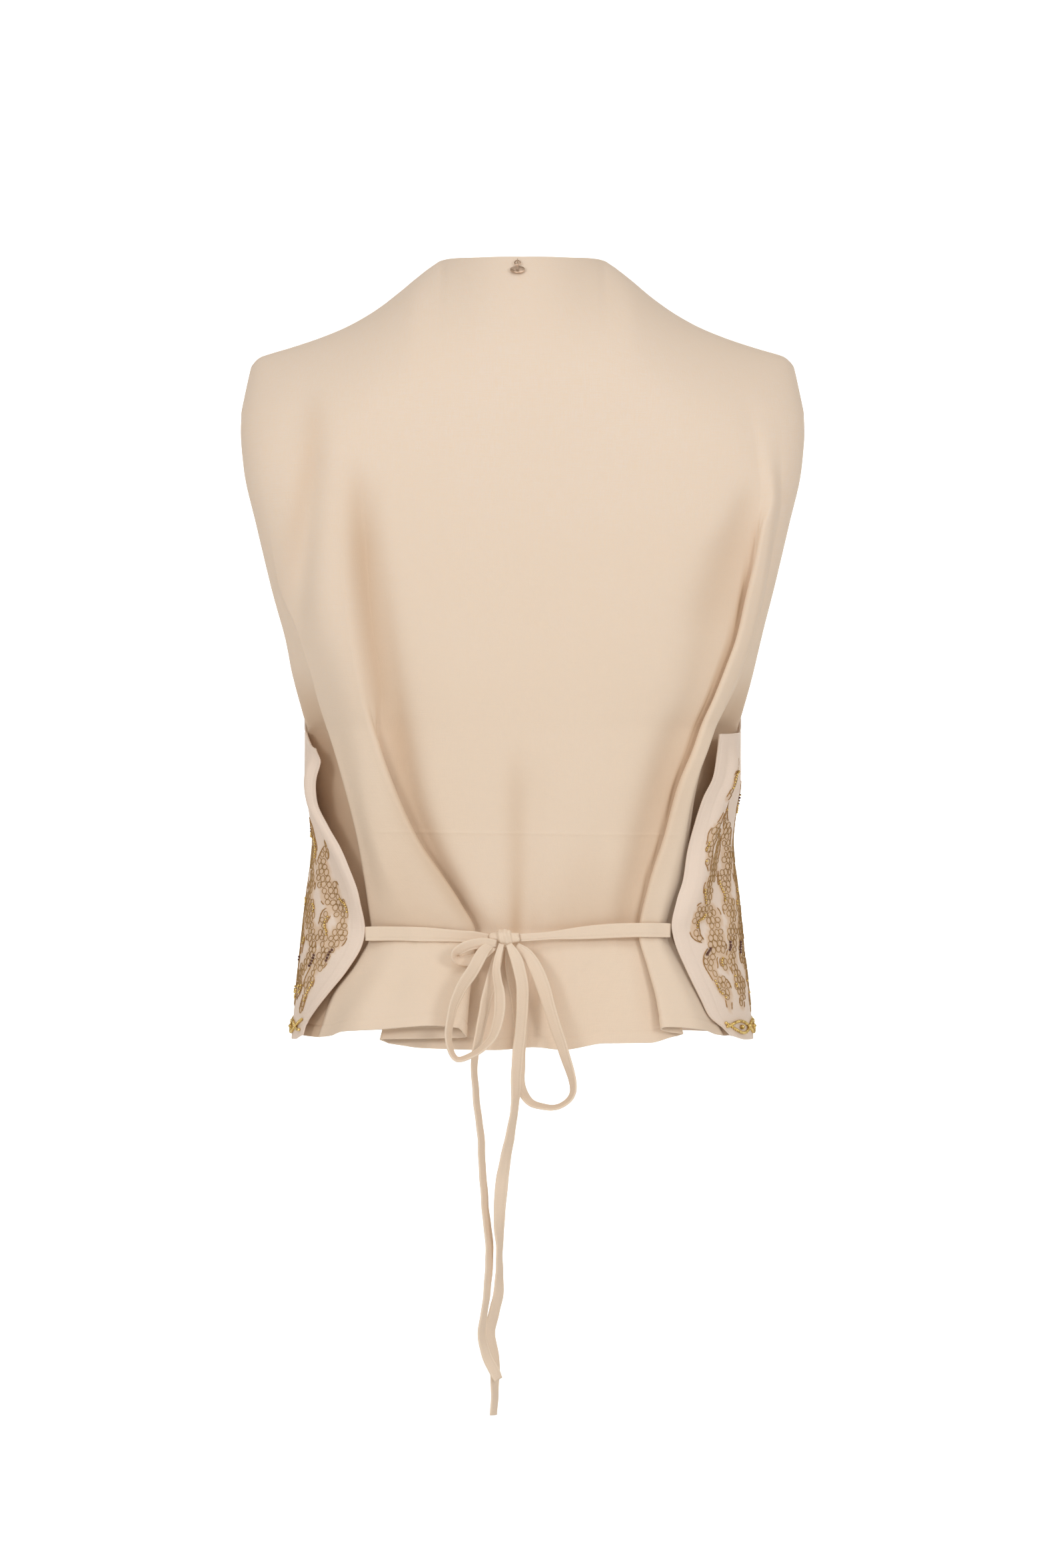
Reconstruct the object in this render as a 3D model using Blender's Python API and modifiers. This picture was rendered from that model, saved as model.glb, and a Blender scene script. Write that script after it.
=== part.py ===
"""A sleeveless waistcoat in its worn, hollow form: a wide pleated back, two wrapped fronts and a back tie.

The wearer faces +Y, +X is the wearer's right, +Z is up. The origin is the midpoint between the shoulders,
where the wearer holds the garment up. Sizes in the tables are millimetres; the meshes are metres.
"""

import math

import bmesh
import bpy
import numpy as np
from mathutils import Vector

MM = 0.001

# Driving sizes, in millimetres
WALL = 1.4
SEAM_HALF = 0.35
TIE_WALL = 1.2
TIE_CLEAR = 0.9
KNOT_GAP = 0.5
PLAN_POWER = 2.4
PLAN_STEPS = 160
NECK_HALF_WIDTH = 57.0
NECK_BACK = 57.0
SHOULDER_TIP_X = 195.0
SHOULDER_DROP = 95.0
FRONT_NECK_Z = -95.0
FRONT_NECK_CURVE = 1.5
CENTRE_FRONT_X = 3.0
UNDERARM_Z = -287.0
FAN_Z = -60.0
FRONT_FAN_Z = -130.0
TIE_Z = -430.0
HEM_Z = -511.0
LAP_CLOSED = 6.0
CHARM_X = -3.5
CHARM_HEIGHT = 2.7
CHARM_DROP = 5.6
CHARM_SLOPE_Z = 29.0
RING_RADIUS = 2.0
RING_WIRE = 0.45
STITCH_RADIUS = 1.15
STITCH_THREAD = 0.35
MEDALLION_SIZE = (5.4, 3.3, 1.0)


def table(columns, rows):
    """Rows of numbers as named columns."""
    return {name: np.array([row[i] for row in rows], float) for i, name in enumerate(columns)}


# The top line of the garment: the back neck edge, then the shoulder seam
CREST = table(("x", "z"), [
    (0, 49.6), (30, 50.4), (50, 52), (57, 52.4), (64, 48.6), (75, 40), (94, 24.2), (110, 13), (128, 3.2),
    (148, -4.8), (165, -10.4), (182, -15.4), (195, -19.4), (202, -21),
])
# The back's outline: armhole edge down to the underarm, side seam below it, and the depth at the centre
BACK = table(("z", "edge_x", "edge_y", "depth"), [
    (52, 192, 0, 92), (-22, 196.6, 20, 100), (-38, 200.6, 28, 102), (-70, 201, 40, 105),
    (-101, 198.2, 47, 107), (-140, 189.2, 51, 108), (-180, 179.7, 50, 107.5), (-218, 170.4, 42, 106),
    (-251, 163.2, 26, 104), (-275, 157.2, 8, 101.5), (-287, 154.2, 0, 100), (-322, 153.9, 0, 96),
    (-345, 150.2, 0, 93), (-366, 148.2, 0, 90), (-381, 149.4, 0, 88), (-405, 152.7, 0, 85),
    (-430, 155.6, 0, 83), (-450, 157.8, 0, 86), (-480, 160.9, 0, 93), (-511, 163.4, 0, 98),
])
# The fronts' outline: armhole edge down to the underarm, and the depth at the centre front
FRONT = table(("z", "edge_x", "edge_y", "depth"), [
    (52, 190, 0, 68), (-22, 195, 22, 78), (-60, 177, 40, 85), (-100, 164, 50, 96),
    (-140, 156.5, 52, 106), (-180, 153.5, 47, 114), (-220, 153.5, 36, 119), (-250, 155.5, 22, 119.5),
    (-275, 157, 7, 117), (-287, 156.5, 0, 115),
])
# The fronts below the underarm: half width at the side, and the depths before and behind it
BODY = table(("z", "half_width", "front", "back"), [
    (-275, 156.8, 117, 106), (-287, 156.5, 115, 104), (-322, 156.2, 108.5, 101), (-345, 152.6, 104, 98),
    (-366, 150.6, 101, 95), (-381, 151.8, 99, 93), (-405, 155.1, 97, 90), (-430, 158, 96, 88),
    (-450, 160.2, 97.5, 91), (-480, 163.3, 101, 98), (-511, 165.8, 105, 103),
])
# The free back edge of each flap, and how far it stands off the outline there
LEFT_FLAP = table(("z", "edge_x", "lift"), [
    (-287, 147.5, 0), (-300, 143, 1), (-322, 143.5, 4), (-337, 141.5, 5), (-355, 133.5, 4),
    (-369, 126.5, 2), (-381, 121.5, 1), (-405, 113.5, 0), (-426, 111, 0), (-437, 113, 0), (-457, 124, 0),
    (-475, 137, 0), (-490, 147, 0), (-502, 153.5, 0), (-511, 156, 0),
])
RIGHT_FLAP = table(("z", "edge_x", "lift"), [
    (-287, 138.5, 1), (-303, 136, 2), (-320, 132.5, 3), (-334, 126.5, 2), (-351, 121.5, 1),
    (-373, 116, 0.5), (-392, 113, 0.5), (-407, 108, 1), (-424, 104.5, 1.5), (-435, 106.5, 1.5),
    (-455, 115, 0), (-480, 126, 0), (-495, 132.5, 0), (-504, 141.5, 0), (-511, 147.5, 0),
])
# The pleats of the back: place of the lip, cloth lapped under it, step in depth, and width when open
LEFT_OUTER = table(("z", "lip", "lap", "depth", "spread"), [
    (-60, -184, 0, 0, 5), (-121, -181.5, 0, 0, 5), (-180, -174, 0, 1, 5), (-215, -163, 0, 3.5, 7),
    (-240, -153.5, 1, 7.5, 8), (-269, -145, 4, 10, 9), (-300, -135, 8, 12, 12), (-329, -126.5, 10, 12, 12),
    (-356, -119.5, 10, 11, 12), (-381, -114.5, 9, 10, 12), (-412, -110, 8, 8, 12),
    (-430, -108.5, 7, 7.2, 12), (-450, -118.5, 3, 7, 12), (-475, -135, 0, 6, 12), (-511, -146, 0, 5, 10),
])
LEFT_INNER = table(("z", "lip", "lap", "depth", "spread"), [
    (-60, -107.5, 0, 0, 26), (-100, -108.5, 0, 0.5, 26), (-130, -110, 0, 2.5, 26), (-180, -112.5, 0, 5, 25),
    (-221, -113, 0, 7, 24), (-240, -110.5, 0, 8, 24), (-271, -105, 2, 9, 22), (-300, -98, 6, 9, 22),
    (-334, -86, 16, 8.5, 22), (-365, -72, 24, 8, 22), (-387, -57.5, 30, 7.6, 22),
    (-409, -43.5, 34, 7.2, 22), (-430, -33.5, 38, 7, 22), (-450, -34.5, 46, 9, 22), (-480, -37, 57, 14, 22),
    (-511, -38.5, 62, 18, 22),
])
RIGHT_INNER = table(("z", "lip", "lap", "depth", "spread"), [
    (-60, 164.5, 0, 0, 9), (-90, 169.5, 0, 1.5, 10), (-121, 171.5, 0, 4.5, 10), (-144, 166, 0, 6, 11),
    (-167, 161.5, 0, 7, 12), (-192, 155.5, 0, 7.5, 14), (-221, 148.5, 1, 8, 14), (-242, 141, 3, 8, 16),
    (-265, 132, 5, 8, 18), (-282, 124.5, 6, 8, 18), (-300, 118.5, 7, 8, 18), (-327, 108, 8, 8, 18),
    (-361, 99, 9, 7.6, 18), (-397, 88, 10, 7.2, 18), (-430, 82, 9, 6.6, 18), (-454, 87, 11, 8.5, 18),
    (-480, 92, 15, 10, 18), (-511, 95, 18, 12, 18),
])
RIGHT_OUTER = table(("z", "lip", "lap", "depth", "spread"), [
    (-60, 185, 0, 0, 5), (-121, 184.5, 0, 0, 4), (-167, 176.5, 0, 0, 4), (-192, 172, 0, 0, 4),
    (-221, 164, 0, 1.5, 5), (-245, 157, 0, 4, 8), (-258, 151.5, 1, 6, 8), (-269, 146, 2, 8, 9),
    (-287, 137, 4, 9, 9), (-300, 132.5, 6, 10, 10), (-316, 127, 6, 10, 10), (-340, 122, 6, 9.5, 10),
    (-365, 119, 6, 9, 10), (-392, 115, 6, 8, 10), (-430, 107, 6, 7, 10), (-450, 115.5, 3, 7, 10),
    (-475, 128, 0, 6, 10), (-511, 143, 0, 5, 10),
])
PLEATS = ((LEFT_OUTER, -1), (LEFT_INNER, 1), (RIGHT_INNER, -1), (RIGHT_OUTER, 1))
# Soft troughs of the back that never lap: ends, half width and depth
SOFT_FOLDS = table(("z_top", "x_top", "z_low", "x_low", "half_width", "depth"), [
    (-60, -146, -230, -160, 13, 3.0), (-300, 10, -432, -4, 12, 4.0), (-434, 4, -513, 8, 8, 3.5),
    (-436, -20, -513, -24, 7, 2.5), (-440, -84, -513, -92, 14, 2.5), (-440, 46, -513, 52, 15, 3.0),
])
# The hem's height along the back by column: 1, 3, 5 and 7 begin a pleat, 2, 4, 6 and 8 end one
HEM = table(("place", "z"), [
    (0, -504.5), (1, -504.8), (2, -504), (2.12, -502.8), (2.26, -499), (2.5, -497), (2.85, -493.8), (3, -495.4),
    (3.15, -500.8), (3.85, -505.2), (4, -507.5), (4.12, -510.4), (4.37, -511.6), (4.5, -509.6), (4.6, -511.4),
    (4.75, -507), (4.9, -507), (5, -502.6), (5.5, -499.5), (6, -495.4), (6.55, -498), (7, -502.6), (8, -503.6),
])
FRONT_HEM = table(("place", "z"), [
    (0, -505.5), (0.5, -505.5), (0.62, -505.6), (0.72, -507.4), (0.86, -506.8), (1, -503),
])
# How finely the panels are divided
DETAIL = {
    "arcs": 2, "flats": 1, "strip": 3, "fan_rows": 5, "front_fan_rows": 6, "flap_columns": 6,
    "left_portion": [0.17, 0.34, 0.5, 0.67, 0.84], "right_portion": [0.34, 0.67],
    "centre": [-84, -68, -58.8, -50, -32, -12, 10, 32, 50, 58.8, 72, 92, 118, 144],
    "levels": [-60, -90, -121, -150, -180, -210, -238, -263, -287, -303, -320, -340, -360, -382, -406,
               -420, -430, -441, -458, -476, -494, -511],
    "front": [3, 17, 34, 49, 57, 70, 88, 108, 130, 152, 171, 185, 195],
}
# The knot: its middle, half its length, and its radius at the ends and round its middle band
KNOT = {"x": -12.7, "y": -91.0, "z": -432.7, "half": 10.5, "end": 3.4, "middle": 5.6, "band": 5.0}
# The routes of the bow's loops and ends: x, y, z, turn in degrees and width
LEFT_END_ROUTE = [
    (-15.1, -90.5, -439, 0, 5), (-19, -95, -451.9, 20, 8), (-23.9, -103, -470.2, 40, 9.5),
    (-30.1, -111, -498, 54, 10), (-33.2, -113, -515.4, 62, 10), (-33.8, -113.5, -526.1, 67, 10),
    (-32.2, -113.5, -545.5, 67, 10), (-29.2, -113, -571.8, 66, 10), (-27.8, -113, -598, 64, 10),
    (-26, -113.5, -621.4, 62, 10), (-23.6, -115, -642.7, 60, 10), (-23.4, -117, -663.9, 62, 10),
    (-26.3, -120, -690.9, 66, 10), (-28.4, -121.5, -707.4, 60, 10), (-25.7, -122, -721.9, 45, 9.5),
    (-20.2, -122, -733.4, 35, 9), (-16.6, -122, -740.6, 45, 8),
]
RIGHT_END_ROUTE = [
    (-9.6, -96, -437.1, 0, 4.5), (-3.9, -101.5, -448.8, 25, 9), (0, -105.5, -468.1, 34, 10),
    (-0.8, -109, -489.4, 36, 10), (-2.9, -112.5, -511.6, 36, 10), (-4.6, -114.5, -531.9, 44, 10),
    (-5.4, -116, -551.2, 60, 10), (-11, -117, -582.2, 46, 10), (-14.6, -117, -604.6, 25, 10),
    (-16.1, -116.5, -626.9, 35, 10), (-16.2, -114.5, -649.4, 66, 10), (-16.1, -113, -666.1, 62, 10),
    (-16.9, -112, -680.7, 48, 10), (-19.8, -111, -694.3, 42, 10), (-23, -110.5, -709.8, 40, 10),
    (-20, -110.5, -727.3, 40, 10), (-19.2, -111.5, -744.8, 58, 10), (-20.4, -112, -766.4, 62, 9),
]
LEFT_LOOP_ROUTE = [
    (-20.4, -95, -436.6, 0, 3.5), (-27.3, -102, -441.9, 12, 8), (-34.5, -111, -454.3, 30, 10),
    (-44.6, -119, -470.5, 42, 10), (-49.9, -123, -485.9, 56, 10), (-51.4, -124.5, -505, 66, 10),
    (-45.8, -125.5, -516.6, 74, 10), (-34, -126, -512.8, 72, 10), (-22.4, -125, -503.2, 62, 10),
    (-17, -122, -489.8, 48, 10), (-16, -117.5, -473.5, 40, 10), (-17.5, -111, -462.1, 42, 8),
    (-18.1, -104, -450.6, 25, 6), (-14.8, -95.8, -437, 0, 4),
]
RIGHT_LOOP_ROUTE = [
    (-4.1, -92.5, -438.3, 0, 5), (3.9, -95.5, -445.1, 0, 8), (11.7, -101, -459, -15, 10),
    (18.5, -107, -479.7, -30, 10), (24.8, -111, -499.5, -38, 10), (30.6, -112.5, -517.4, -46, 10),
    (35.2, -113, -532.5, -62, 10), (34, -113.5, -543.2, -72, 10), (26.4, -113.5, -549.8, -76, 10),
    (16.2, -111.5, -551, -74, 10), (5, -107, -547, -62, 10), (-1.8, -102.5, -535, -45, 10),
    (-2.4, -101, -515, -20, 10), (-1.5, -99, -492.7, 0, 10), (-4.4, -94, -471.5, 0, 9),
    (-8.8, -90.2, -452.1, 0, 7), (-9.6, -88.8, -439.1, 0, 5),
]


def smooth(t):
    """A soft step from 0 to 1."""
    t = np.clip(t, 0.0, 1.0)
    return t * t * (3.0 - 2.0 * t)


def along(rows, column, at, key="z"):
    """A column's value on a smooth curve through the rows that never overshoots them."""
    order = np.argsort(rows[key])
    x, y = rows[key][order], rows[column][order]
    step = np.diff(x)
    slope = np.diff(y) / step
    tangent = np.zeros(len(x))
    same = slope[:-1] * slope[1:] > 0
    tangent[1:-1][same] = 2.0 * slope[:-1][same] * slope[1:][same] / (slope[:-1] + slope[1:])[same]
    tangent[0], tangent[-1] = slope[0], slope[-1]
    at = np.clip(np.asarray(at, float), x[0], x[-1])
    i = np.clip(np.searchsorted(x, at) - 1, 0, len(step) - 1)
    t = (at - x[i]) / step[i]
    a = (1 + 2 * t) * (1 - t) ** 2 * y[i] + t * (1 - t) ** 2 * step[i] * tangent[i]
    b = t * t * (3 - 2 * t) * y[i + 1] - t * t * (1 - t) * step[i] * tangent[i + 1]
    return a + b


def row_at(rows, z, *columns):
    """Several columns' values at one height."""
    return [float(along(rows, column, z)) for column in columns]


def oval(share):
    """Depth share of a rounded plan outline at a share of its half width."""
    return (1.0 - np.clip(np.abs(share), 0, 1) ** PLAN_POWER) ** (1.0 / PLAN_POWER)


def crest_z(x):
    return along(CREST, "z", np.abs(x), "x")


def rounding(drop, x):
    """How far a surface has come out from the shoulder line, from 0 on it to 1 well below it."""
    rise = 1.0 - (1.0 - np.clip(drop / SHOULDER_DROP, 0, 1)) ** 2
    nearness = smooth((np.abs(x) - 40.0) / 40.0)
    return rise ** (1.0 - 0.5 * nearness)


def neck_depth(x):
    """How far behind the shoulder line the back's top edge lies: a half round neck, then the seam."""
    return NECK_BACK * np.sqrt(np.clip(1 - (x / NECK_HALF_WIDTH) ** 2, 0, 1)) + SEAM_HALF


def plan_curve(half_width, side_depth, depth):
    """Half a rounded outline in plan, left side to right: x, depth and the length along it."""
    turn = np.linspace(-math.pi / 2, math.pi / 2, PLAN_STEPS + 1)
    x = half_width * np.sign(turn) * np.abs(np.sin(turn)) ** (2.0 / PLAN_POWER)
    y = side_depth + (depth - side_depth) * np.cos(turn) ** (2.0 / PLAN_POWER)
    length = np.concatenate([[0], np.cumsum(np.hypot(np.diff(x), np.diff(y)))])
    return x, y, length


def on_curve(curve, at, out):
    """Points at lengths along a plan curve, moved out from it."""
    x, y, length = curve
    across = np.interp(at, length, np.gradient(x, length))
    away = np.interp(at, length, np.gradient(y, length))
    size = np.hypot(across, away)
    return np.interp(at, length, x) - out * away / size, np.interp(at, length, y) + out * across / size


def soft_folds(x, z):
    """Depth of the soft troughs at a place on the back."""
    total = np.zeros(np.broadcast(x, z).shape)
    for top, x_top, low, x_low, half_width, depth in zip(*SOFT_FOLDS.values()):
        share = (top - z) / (top - low)
        middle = x_top + (x_low - x_top) * share
        ends = smooth(share / 0.35) * smooth((1.15 - share) / 0.3)
        total += depth * ends * np.exp(-(((x - middle) / half_width) ** 2))
    return total


def pleat(rows, toward, z, detail, curve):
    """One pleat in plan, outer layer to inner: length along the curve, step in depth, its depth and lap.

    toward is the side its lip points to. An open pleat is a soft ramp; a lapped one turns back under itself.
    """
    lip, lap, depth, spread = row_at(rows, z, "lip", "lap", "depth", "spread")
    radius = depth / 4.0
    under = max(lap, 2.0 * radius + 1.0)
    turn = np.linspace(0, math.pi, detail["arcs"] + 1)
    flat = np.linspace(-radius, -under + radius, detail["flats"] + 2)[1:-1]
    beyond = np.concatenate([
        -radius + radius * np.sin(turn), flat, -under + radius - radius * np.sin(turn),
    ])
    down = np.concatenate([
        radius - radius * np.cos(turn), np.full(len(flat), 2.0 * radius), 3.0 * radius - radius * np.cos(turn),
    ])
    run = np.linspace(0, 1, len(beyond))
    closed = float(smooth(lap / LAP_CLOSED))
    beyond = closed * beyond + (1 - closed) * spread * (run - 0.4)
    down = closed * down + (1 - closed) * depth * smooth(run)
    x, _, length = curve
    return np.interp(lip, x, length) + toward * beyond, down, depth, closed * under


def centre_shares(detail):
    """Shares of the centre span at which its columns lie, so that some meet the neck's corners."""
    curve = plan_curve(*row_at(BACK, FAN_Z, "edge_x", "edge_y", "depth"))
    start = pleat(LEFT_INNER, 1, FAN_Z, detail, curve)[0][-1]
    end = pleat(RIGHT_INNER, -1, FAN_Z, detail, curve)[0][-1]
    return (np.interp(detail["centre"], curve[0], curve[2]) - start) / (end - start)


def back_section(z, detail):
    """The back panel at one height: x and depth of every column, from the left side seam to the right one."""
    curve = plan_curve(*row_at(BACK, z, "edge_x", "edge_y", "depth"))
    left_outer, left_inner, right_inner, right_outer = (
        pleat(rows, toward, z, detail, curve) for rows, toward in PLEATS
    )
    strip = np.linspace(0, 1, detail["strip"] + 1)[:-1]
    left_shares, right_shares = np.array(detail["left_portion"]), np.array(detail["right_portion"])
    left_start, left_end = left_outer[0][0], left_inner[0][0]
    left = left_start + (left_end - left_start) * left_shares
    left_full = max(8.0, left_end - left_inner[3] - 3.0 - left_start)
    right_start, right_end = right_inner[0][0], right_outer[0][0]
    right = right_start + (right_end - right_start) * right_shares
    right_flat = right_start + right_inner[3]
    right_fall = (right - right_flat) / max(4.0, right_end - right_flat)
    centre_start, centre_end = left_inner[0][-1], right_inner[0][-1]
    centre = centre_start + (centre_end - centre_start) * centre_shares(detail)
    right_strip = right_outer[0][-1] + (curve[2][-1] - right_outer[0][-1]) * (1 - strip[::-1])
    at = np.concatenate([
        left_outer[0][-1] * strip, left_outer[0][::-1], left, left_inner[0], centre,
        right_inner[0][::-1], right, right_outer[0], right_strip,
    ])
    out = np.concatenate([
        -left_outer[2] * smooth(1.8 * strip), -left_outer[1][::-1],
        left_inner[2] * smooth((left - left_start) / left_full), left_inner[2] - left_inner[1],
        np.zeros(len(centre)), right_inner[2] - right_inner[1][::-1],
        right_inner[2] * (1 - smooth(right_fall)), -right_outer[1], -right_outer[2] * smooth(1.8 * strip[::-1]),
    ])
    middle = np.interp(at, curve[2], curve[0])
    return on_curve(curve, at, out - soft_folds(middle, z))


def column_places(detail):
    """Each column's place among the pleats, for the hem."""
    n = 2 * (detail["arcs"] + 1) + detail["flats"]
    strip = np.linspace(0, 1, detail["strip"] + 1)
    return np.concatenate([
        strip[:-1], np.linspace(1, 2, n), 2 + np.array(detail["left_portion"]), np.linspace(3, 4, n),
        4 + centre_shares(detail), np.linspace(5, 6, n), 6 + np.array(detail["right_portion"]),
        np.linspace(7, 8, n), np.full(detail["strip"], 8.0),
    ])


def hem_share(z):
    """How far a row below the tie takes the hem's shape: 0 at the tie, 1 at the hem."""
    share = np.clip((TIE_Z - z) / (TIE_Z - HEM_Z), 0, 1)
    return share * smooth(share)


def back_grid(detail):
    """Rows of points of the back panel, from the neck and shoulders down to the hem."""
    hem = along(HEM, "z", column_places(detail), "place")
    first_x = back_section(FAN_Z, detail)[0]
    first_edge = float(along(BACK, "edge_x", FAN_Z))
    top_x = first_x * SHOULDER_TIP_X / first_edge
    top_z = crest_z(top_x)
    neck = neck_depth(top_x)
    rows = []
    for turn in np.linspace(0, math.pi / 2, detail["fan_rows"] + 1)[:-1]:
        fall = 1 - math.cos(turn)
        x = top_x + (first_x - top_x) * fall
        z = top_z + (FAN_Z - top_z) * fall
        edge_y = along(BACK, "edge_y", z)
        wide = edge_y + (along(BACK, "depth", z) - edge_y) * oval(first_x / first_edge)
        rows.append((x, -(neck + (wide - neck) * rounding(top_z - z, x)), z))
    for level in detail["levels"]:
        x, depth = back_section(level, detail)
        y = -(neck + (depth - neck) * rounding(crest_z(x) - level, x))
        rows.append((x, y, level + (hem - HEM_Z) * hem_share(level)))
    return np.array(rows).transpose(0, 2, 1)


def back_face(x, z, detail):
    """Depth of the back's outermost layer at a place below the neck, as a y."""
    px, depth = back_section(z, detail)
    low, high = np.minimum(px[:-1], px[1:]), np.maximum(px[:-1], px[1:])
    spans = np.nonzero((low <= x) & (x <= high))[0]
    shares = (x - px[spans]) / np.where(px[spans + 1] == px[spans], 1.0, px[spans + 1] - px[spans])
    return -float(np.max(depth[spans] + (depth[spans + 1] - depth[spans]) * shares)) - WALL / 2


def front_depth(x, share, z):
    """The front's depth before the shoulder line at a column and height."""
    edge_y, depth = along(FRONT, "edge_y", z), along(FRONT, "depth", z)
    wide = edge_y + (depth - edge_y) * oval(share)
    return SEAM_HALF + (wide - SEAM_HALF) * rounding(crest_z(x) - z, x)


def drag_fold(share, z, side):
    """The flap's fold from the underarm to the tie: it stands out along the edge, hollow before it."""
    between = smooth((UNDERARM_Z - z) / 25.0) * smooth((z - TIE_Z + 6.0) / 30.0)
    ridge = 0.74 + 0.3 * np.clip((UNDERARM_Z - z) / (UNDERARM_Z - TIE_Z), 0, 1)
    ridge = ridge - (0.12 if side > 0 else 0.0)
    stands = 2.5 * np.exp(-(((share - ridge) / 0.14) ** 2))
    hollow = 1.5 * np.exp(-(((share - ridge + 0.34) / 0.16) ** 2))
    return between * (stands - hollow)


def front_grid(side, detail):
    """Rows of points of one front; side is -1 for the wearer's left. A missing place, above the flap, is nan."""
    flap = LEFT_FLAP if side < 0 else RIGHT_FLAP
    share = np.array(detail["front"]) / SHOULDER_TIP_X
    flap_share = np.linspace(0, 1, detail["flap_columns"] + 1)[1:]
    hem = along(FRONT_HEM, "z", np.concatenate([0.62 * share, 0.62 + 0.38 * flap_share]), "place")
    fan_x = share * float(along(FRONT, "edge_x", FRONT_FAN_Z))
    top_x = share * SHOULDER_TIP_X
    neck_rise = crest_z(NECK_HALF_WIDTH) - FRONT_NECK_Z
    neckline = FRONT_NECK_Z + neck_rise * (top_x / NECK_HALF_WIDTH) ** FRONT_NECK_CURVE
    top_z = np.where(top_x < NECK_HALF_WIDTH - 0.01, neckline, crest_z(top_x))
    blank = np.full(detail["flap_columns"], np.nan)
    rows = []
    for turn in np.linspace(0, math.pi / 2, detail["front_fan_rows"] + 1)[:-1]:
        fall = 1 - math.cos(turn)
        x = top_x + (fan_x - top_x) * fall
        z = top_z + (FRONT_FAN_Z - top_z) * fall
        rows.append([np.concatenate([v, blank]) for v in (x, front_depth(x, share, z), z)])
    for level in [z for z in detail["levels"] if FRONT_FAN_Z >= z > UNDERARM_Z]:
        x = share * float(along(FRONT, "edge_x", level))
        z = np.full(len(x), float(level))
        rows.append([np.concatenate([v, blank]) for v in (x, front_depth(x, share, z), z)])
    for level in [z for z in detail["levels"] if z <= UNDERARM_Z]:
        half, front, back = row_at(BODY, level, "half_width", "front", "back")
        edge, lift = row_at(flap, level, "edge_x", "lift")
        curve = plan_curve(half, 0.0, back)
        reach = np.interp(-edge, curve[0], curve[2])
        out = lift * smooth(flap_share) + drag_fold(flap_share, level, side)
        flap_x, flap_y = on_curve(curve, reach * flap_share, out)
        z = level + (hem - HEM_Z) * hem_share(level)
        top = -2.0 * smooth(flap_share) if side > 0 else -12.0 * smooth((flap_share - 0.35) / 0.65)
        z[len(share):] += top * smooth((level - UNDERARM_Z + 40.0) / 40.0)
        x = np.concatenate([share * half, -flap_x])
        rows.append([x, np.concatenate([front * oval(share), -flap_y]), z])
    grid = np.array(rows).transpose(0, 2, 1)
    grid[:, 0, 0] = CENTRE_FRONT_X
    grid[:, :, 0] *= side
    return grid


def material(name, colour, roughness, metallic=0.0):
    made = bpy.data.materials.new(name)
    made.use_nodes = True
    shader = made.node_tree.nodes["Principled BSDF"]
    shader.inputs["Base Color"].default_value = (*colour, 1.0)
    shader.inputs["Roughness"].default_value = roughness
    shader.inputs["Metallic"].default_value = metallic
    return made


def link(name, mesh, finish, collection):
    """A new object with one material, in the garment's collection."""
    made = bpy.data.objects.new(name, mesh)
    made.data.materials.append(finish)
    collection.objects.link(made)
    return made


def cloth_wall(name, grid, thickness, finish, collection, flip=False):
    """A cloth panel: an open surface over rows of points, given its thickness by Solidify."""
    mesh = bmesh.new()
    points = [
        [None if math.isnan(p[0]) else mesh.verts.new(Vector(p) * MM) for p in row] for row in grid
    ]
    for upper, lower in zip(points, points[1:]):
        for i in range(len(upper) - 1):
            corners = [upper[i], lower[i], lower[i + 1], upper[i + 1]]
            if None not in corners:
                mesh.faces.new(corners[::-1] if flip else corners)
    data = bpy.data.meshes.new(name)
    mesh.to_mesh(data)
    mesh.free()
    data.shade_smooth()
    made = link(name, data, finish, collection)
    wall = made.modifiers.new("Wall", "SOLIDIFY")
    wall.thickness = thickness * MM
    wall.offset = 0.0
    return made


def curve_through(points, step):
    """Evenly spaced points on a smooth curve through a route's points, with what else each row holds."""
    p = np.array(points, float)
    p = np.vstack([2 * p[0] - p[1], p, 2 * p[-1] - p[-2]])
    fine = []
    for a, b, c, d in zip(p, p[1:], p[2:], p[3:]):
        for t in np.linspace(0, 1, 12, endpoint=False):
            bend = (2 * a - 5 * b + 4 * c - d) * t * t + (3 * b - a - 3 * c + d) * t ** 3
            fine.append(b + 0.5 * ((c - a) * t + bend))
    fine = np.array(fine + [p[-2]])
    length = np.concatenate([[0], np.cumsum(np.linalg.norm(np.diff(fine[:, :3], axis=0), axis=1))])
    at = np.linspace(0, length[-1], max(3, round(length[-1] / step) + 1))
    return np.stack([np.interp(at, length, fine[:, k]) for k in range(fine.shape[1])], axis=1)


def tie_grid(route, step):
    """Points of a flat tie along a route: turn 0 lies parallel to the back, 90 stands on edge."""
    line = curve_through(route, step)
    heading = np.gradient(line[:, :3], axis=0)
    heading /= np.linalg.norm(heading, axis=1)[:, None]
    across = np.cross(heading, (0.0, 1.0, 0.0))
    across /= np.linalg.norm(across, axis=1)[:, None]
    turn = np.radians(line[:, 3])[:, None]
    side = across * np.cos(turn) + np.cross(across, heading) * np.sin(turn)
    half = line[:, 4, None] / 2
    return np.stack([line[:, :3] - side * half, line[:, :3] + side * half], axis=1)


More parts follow.
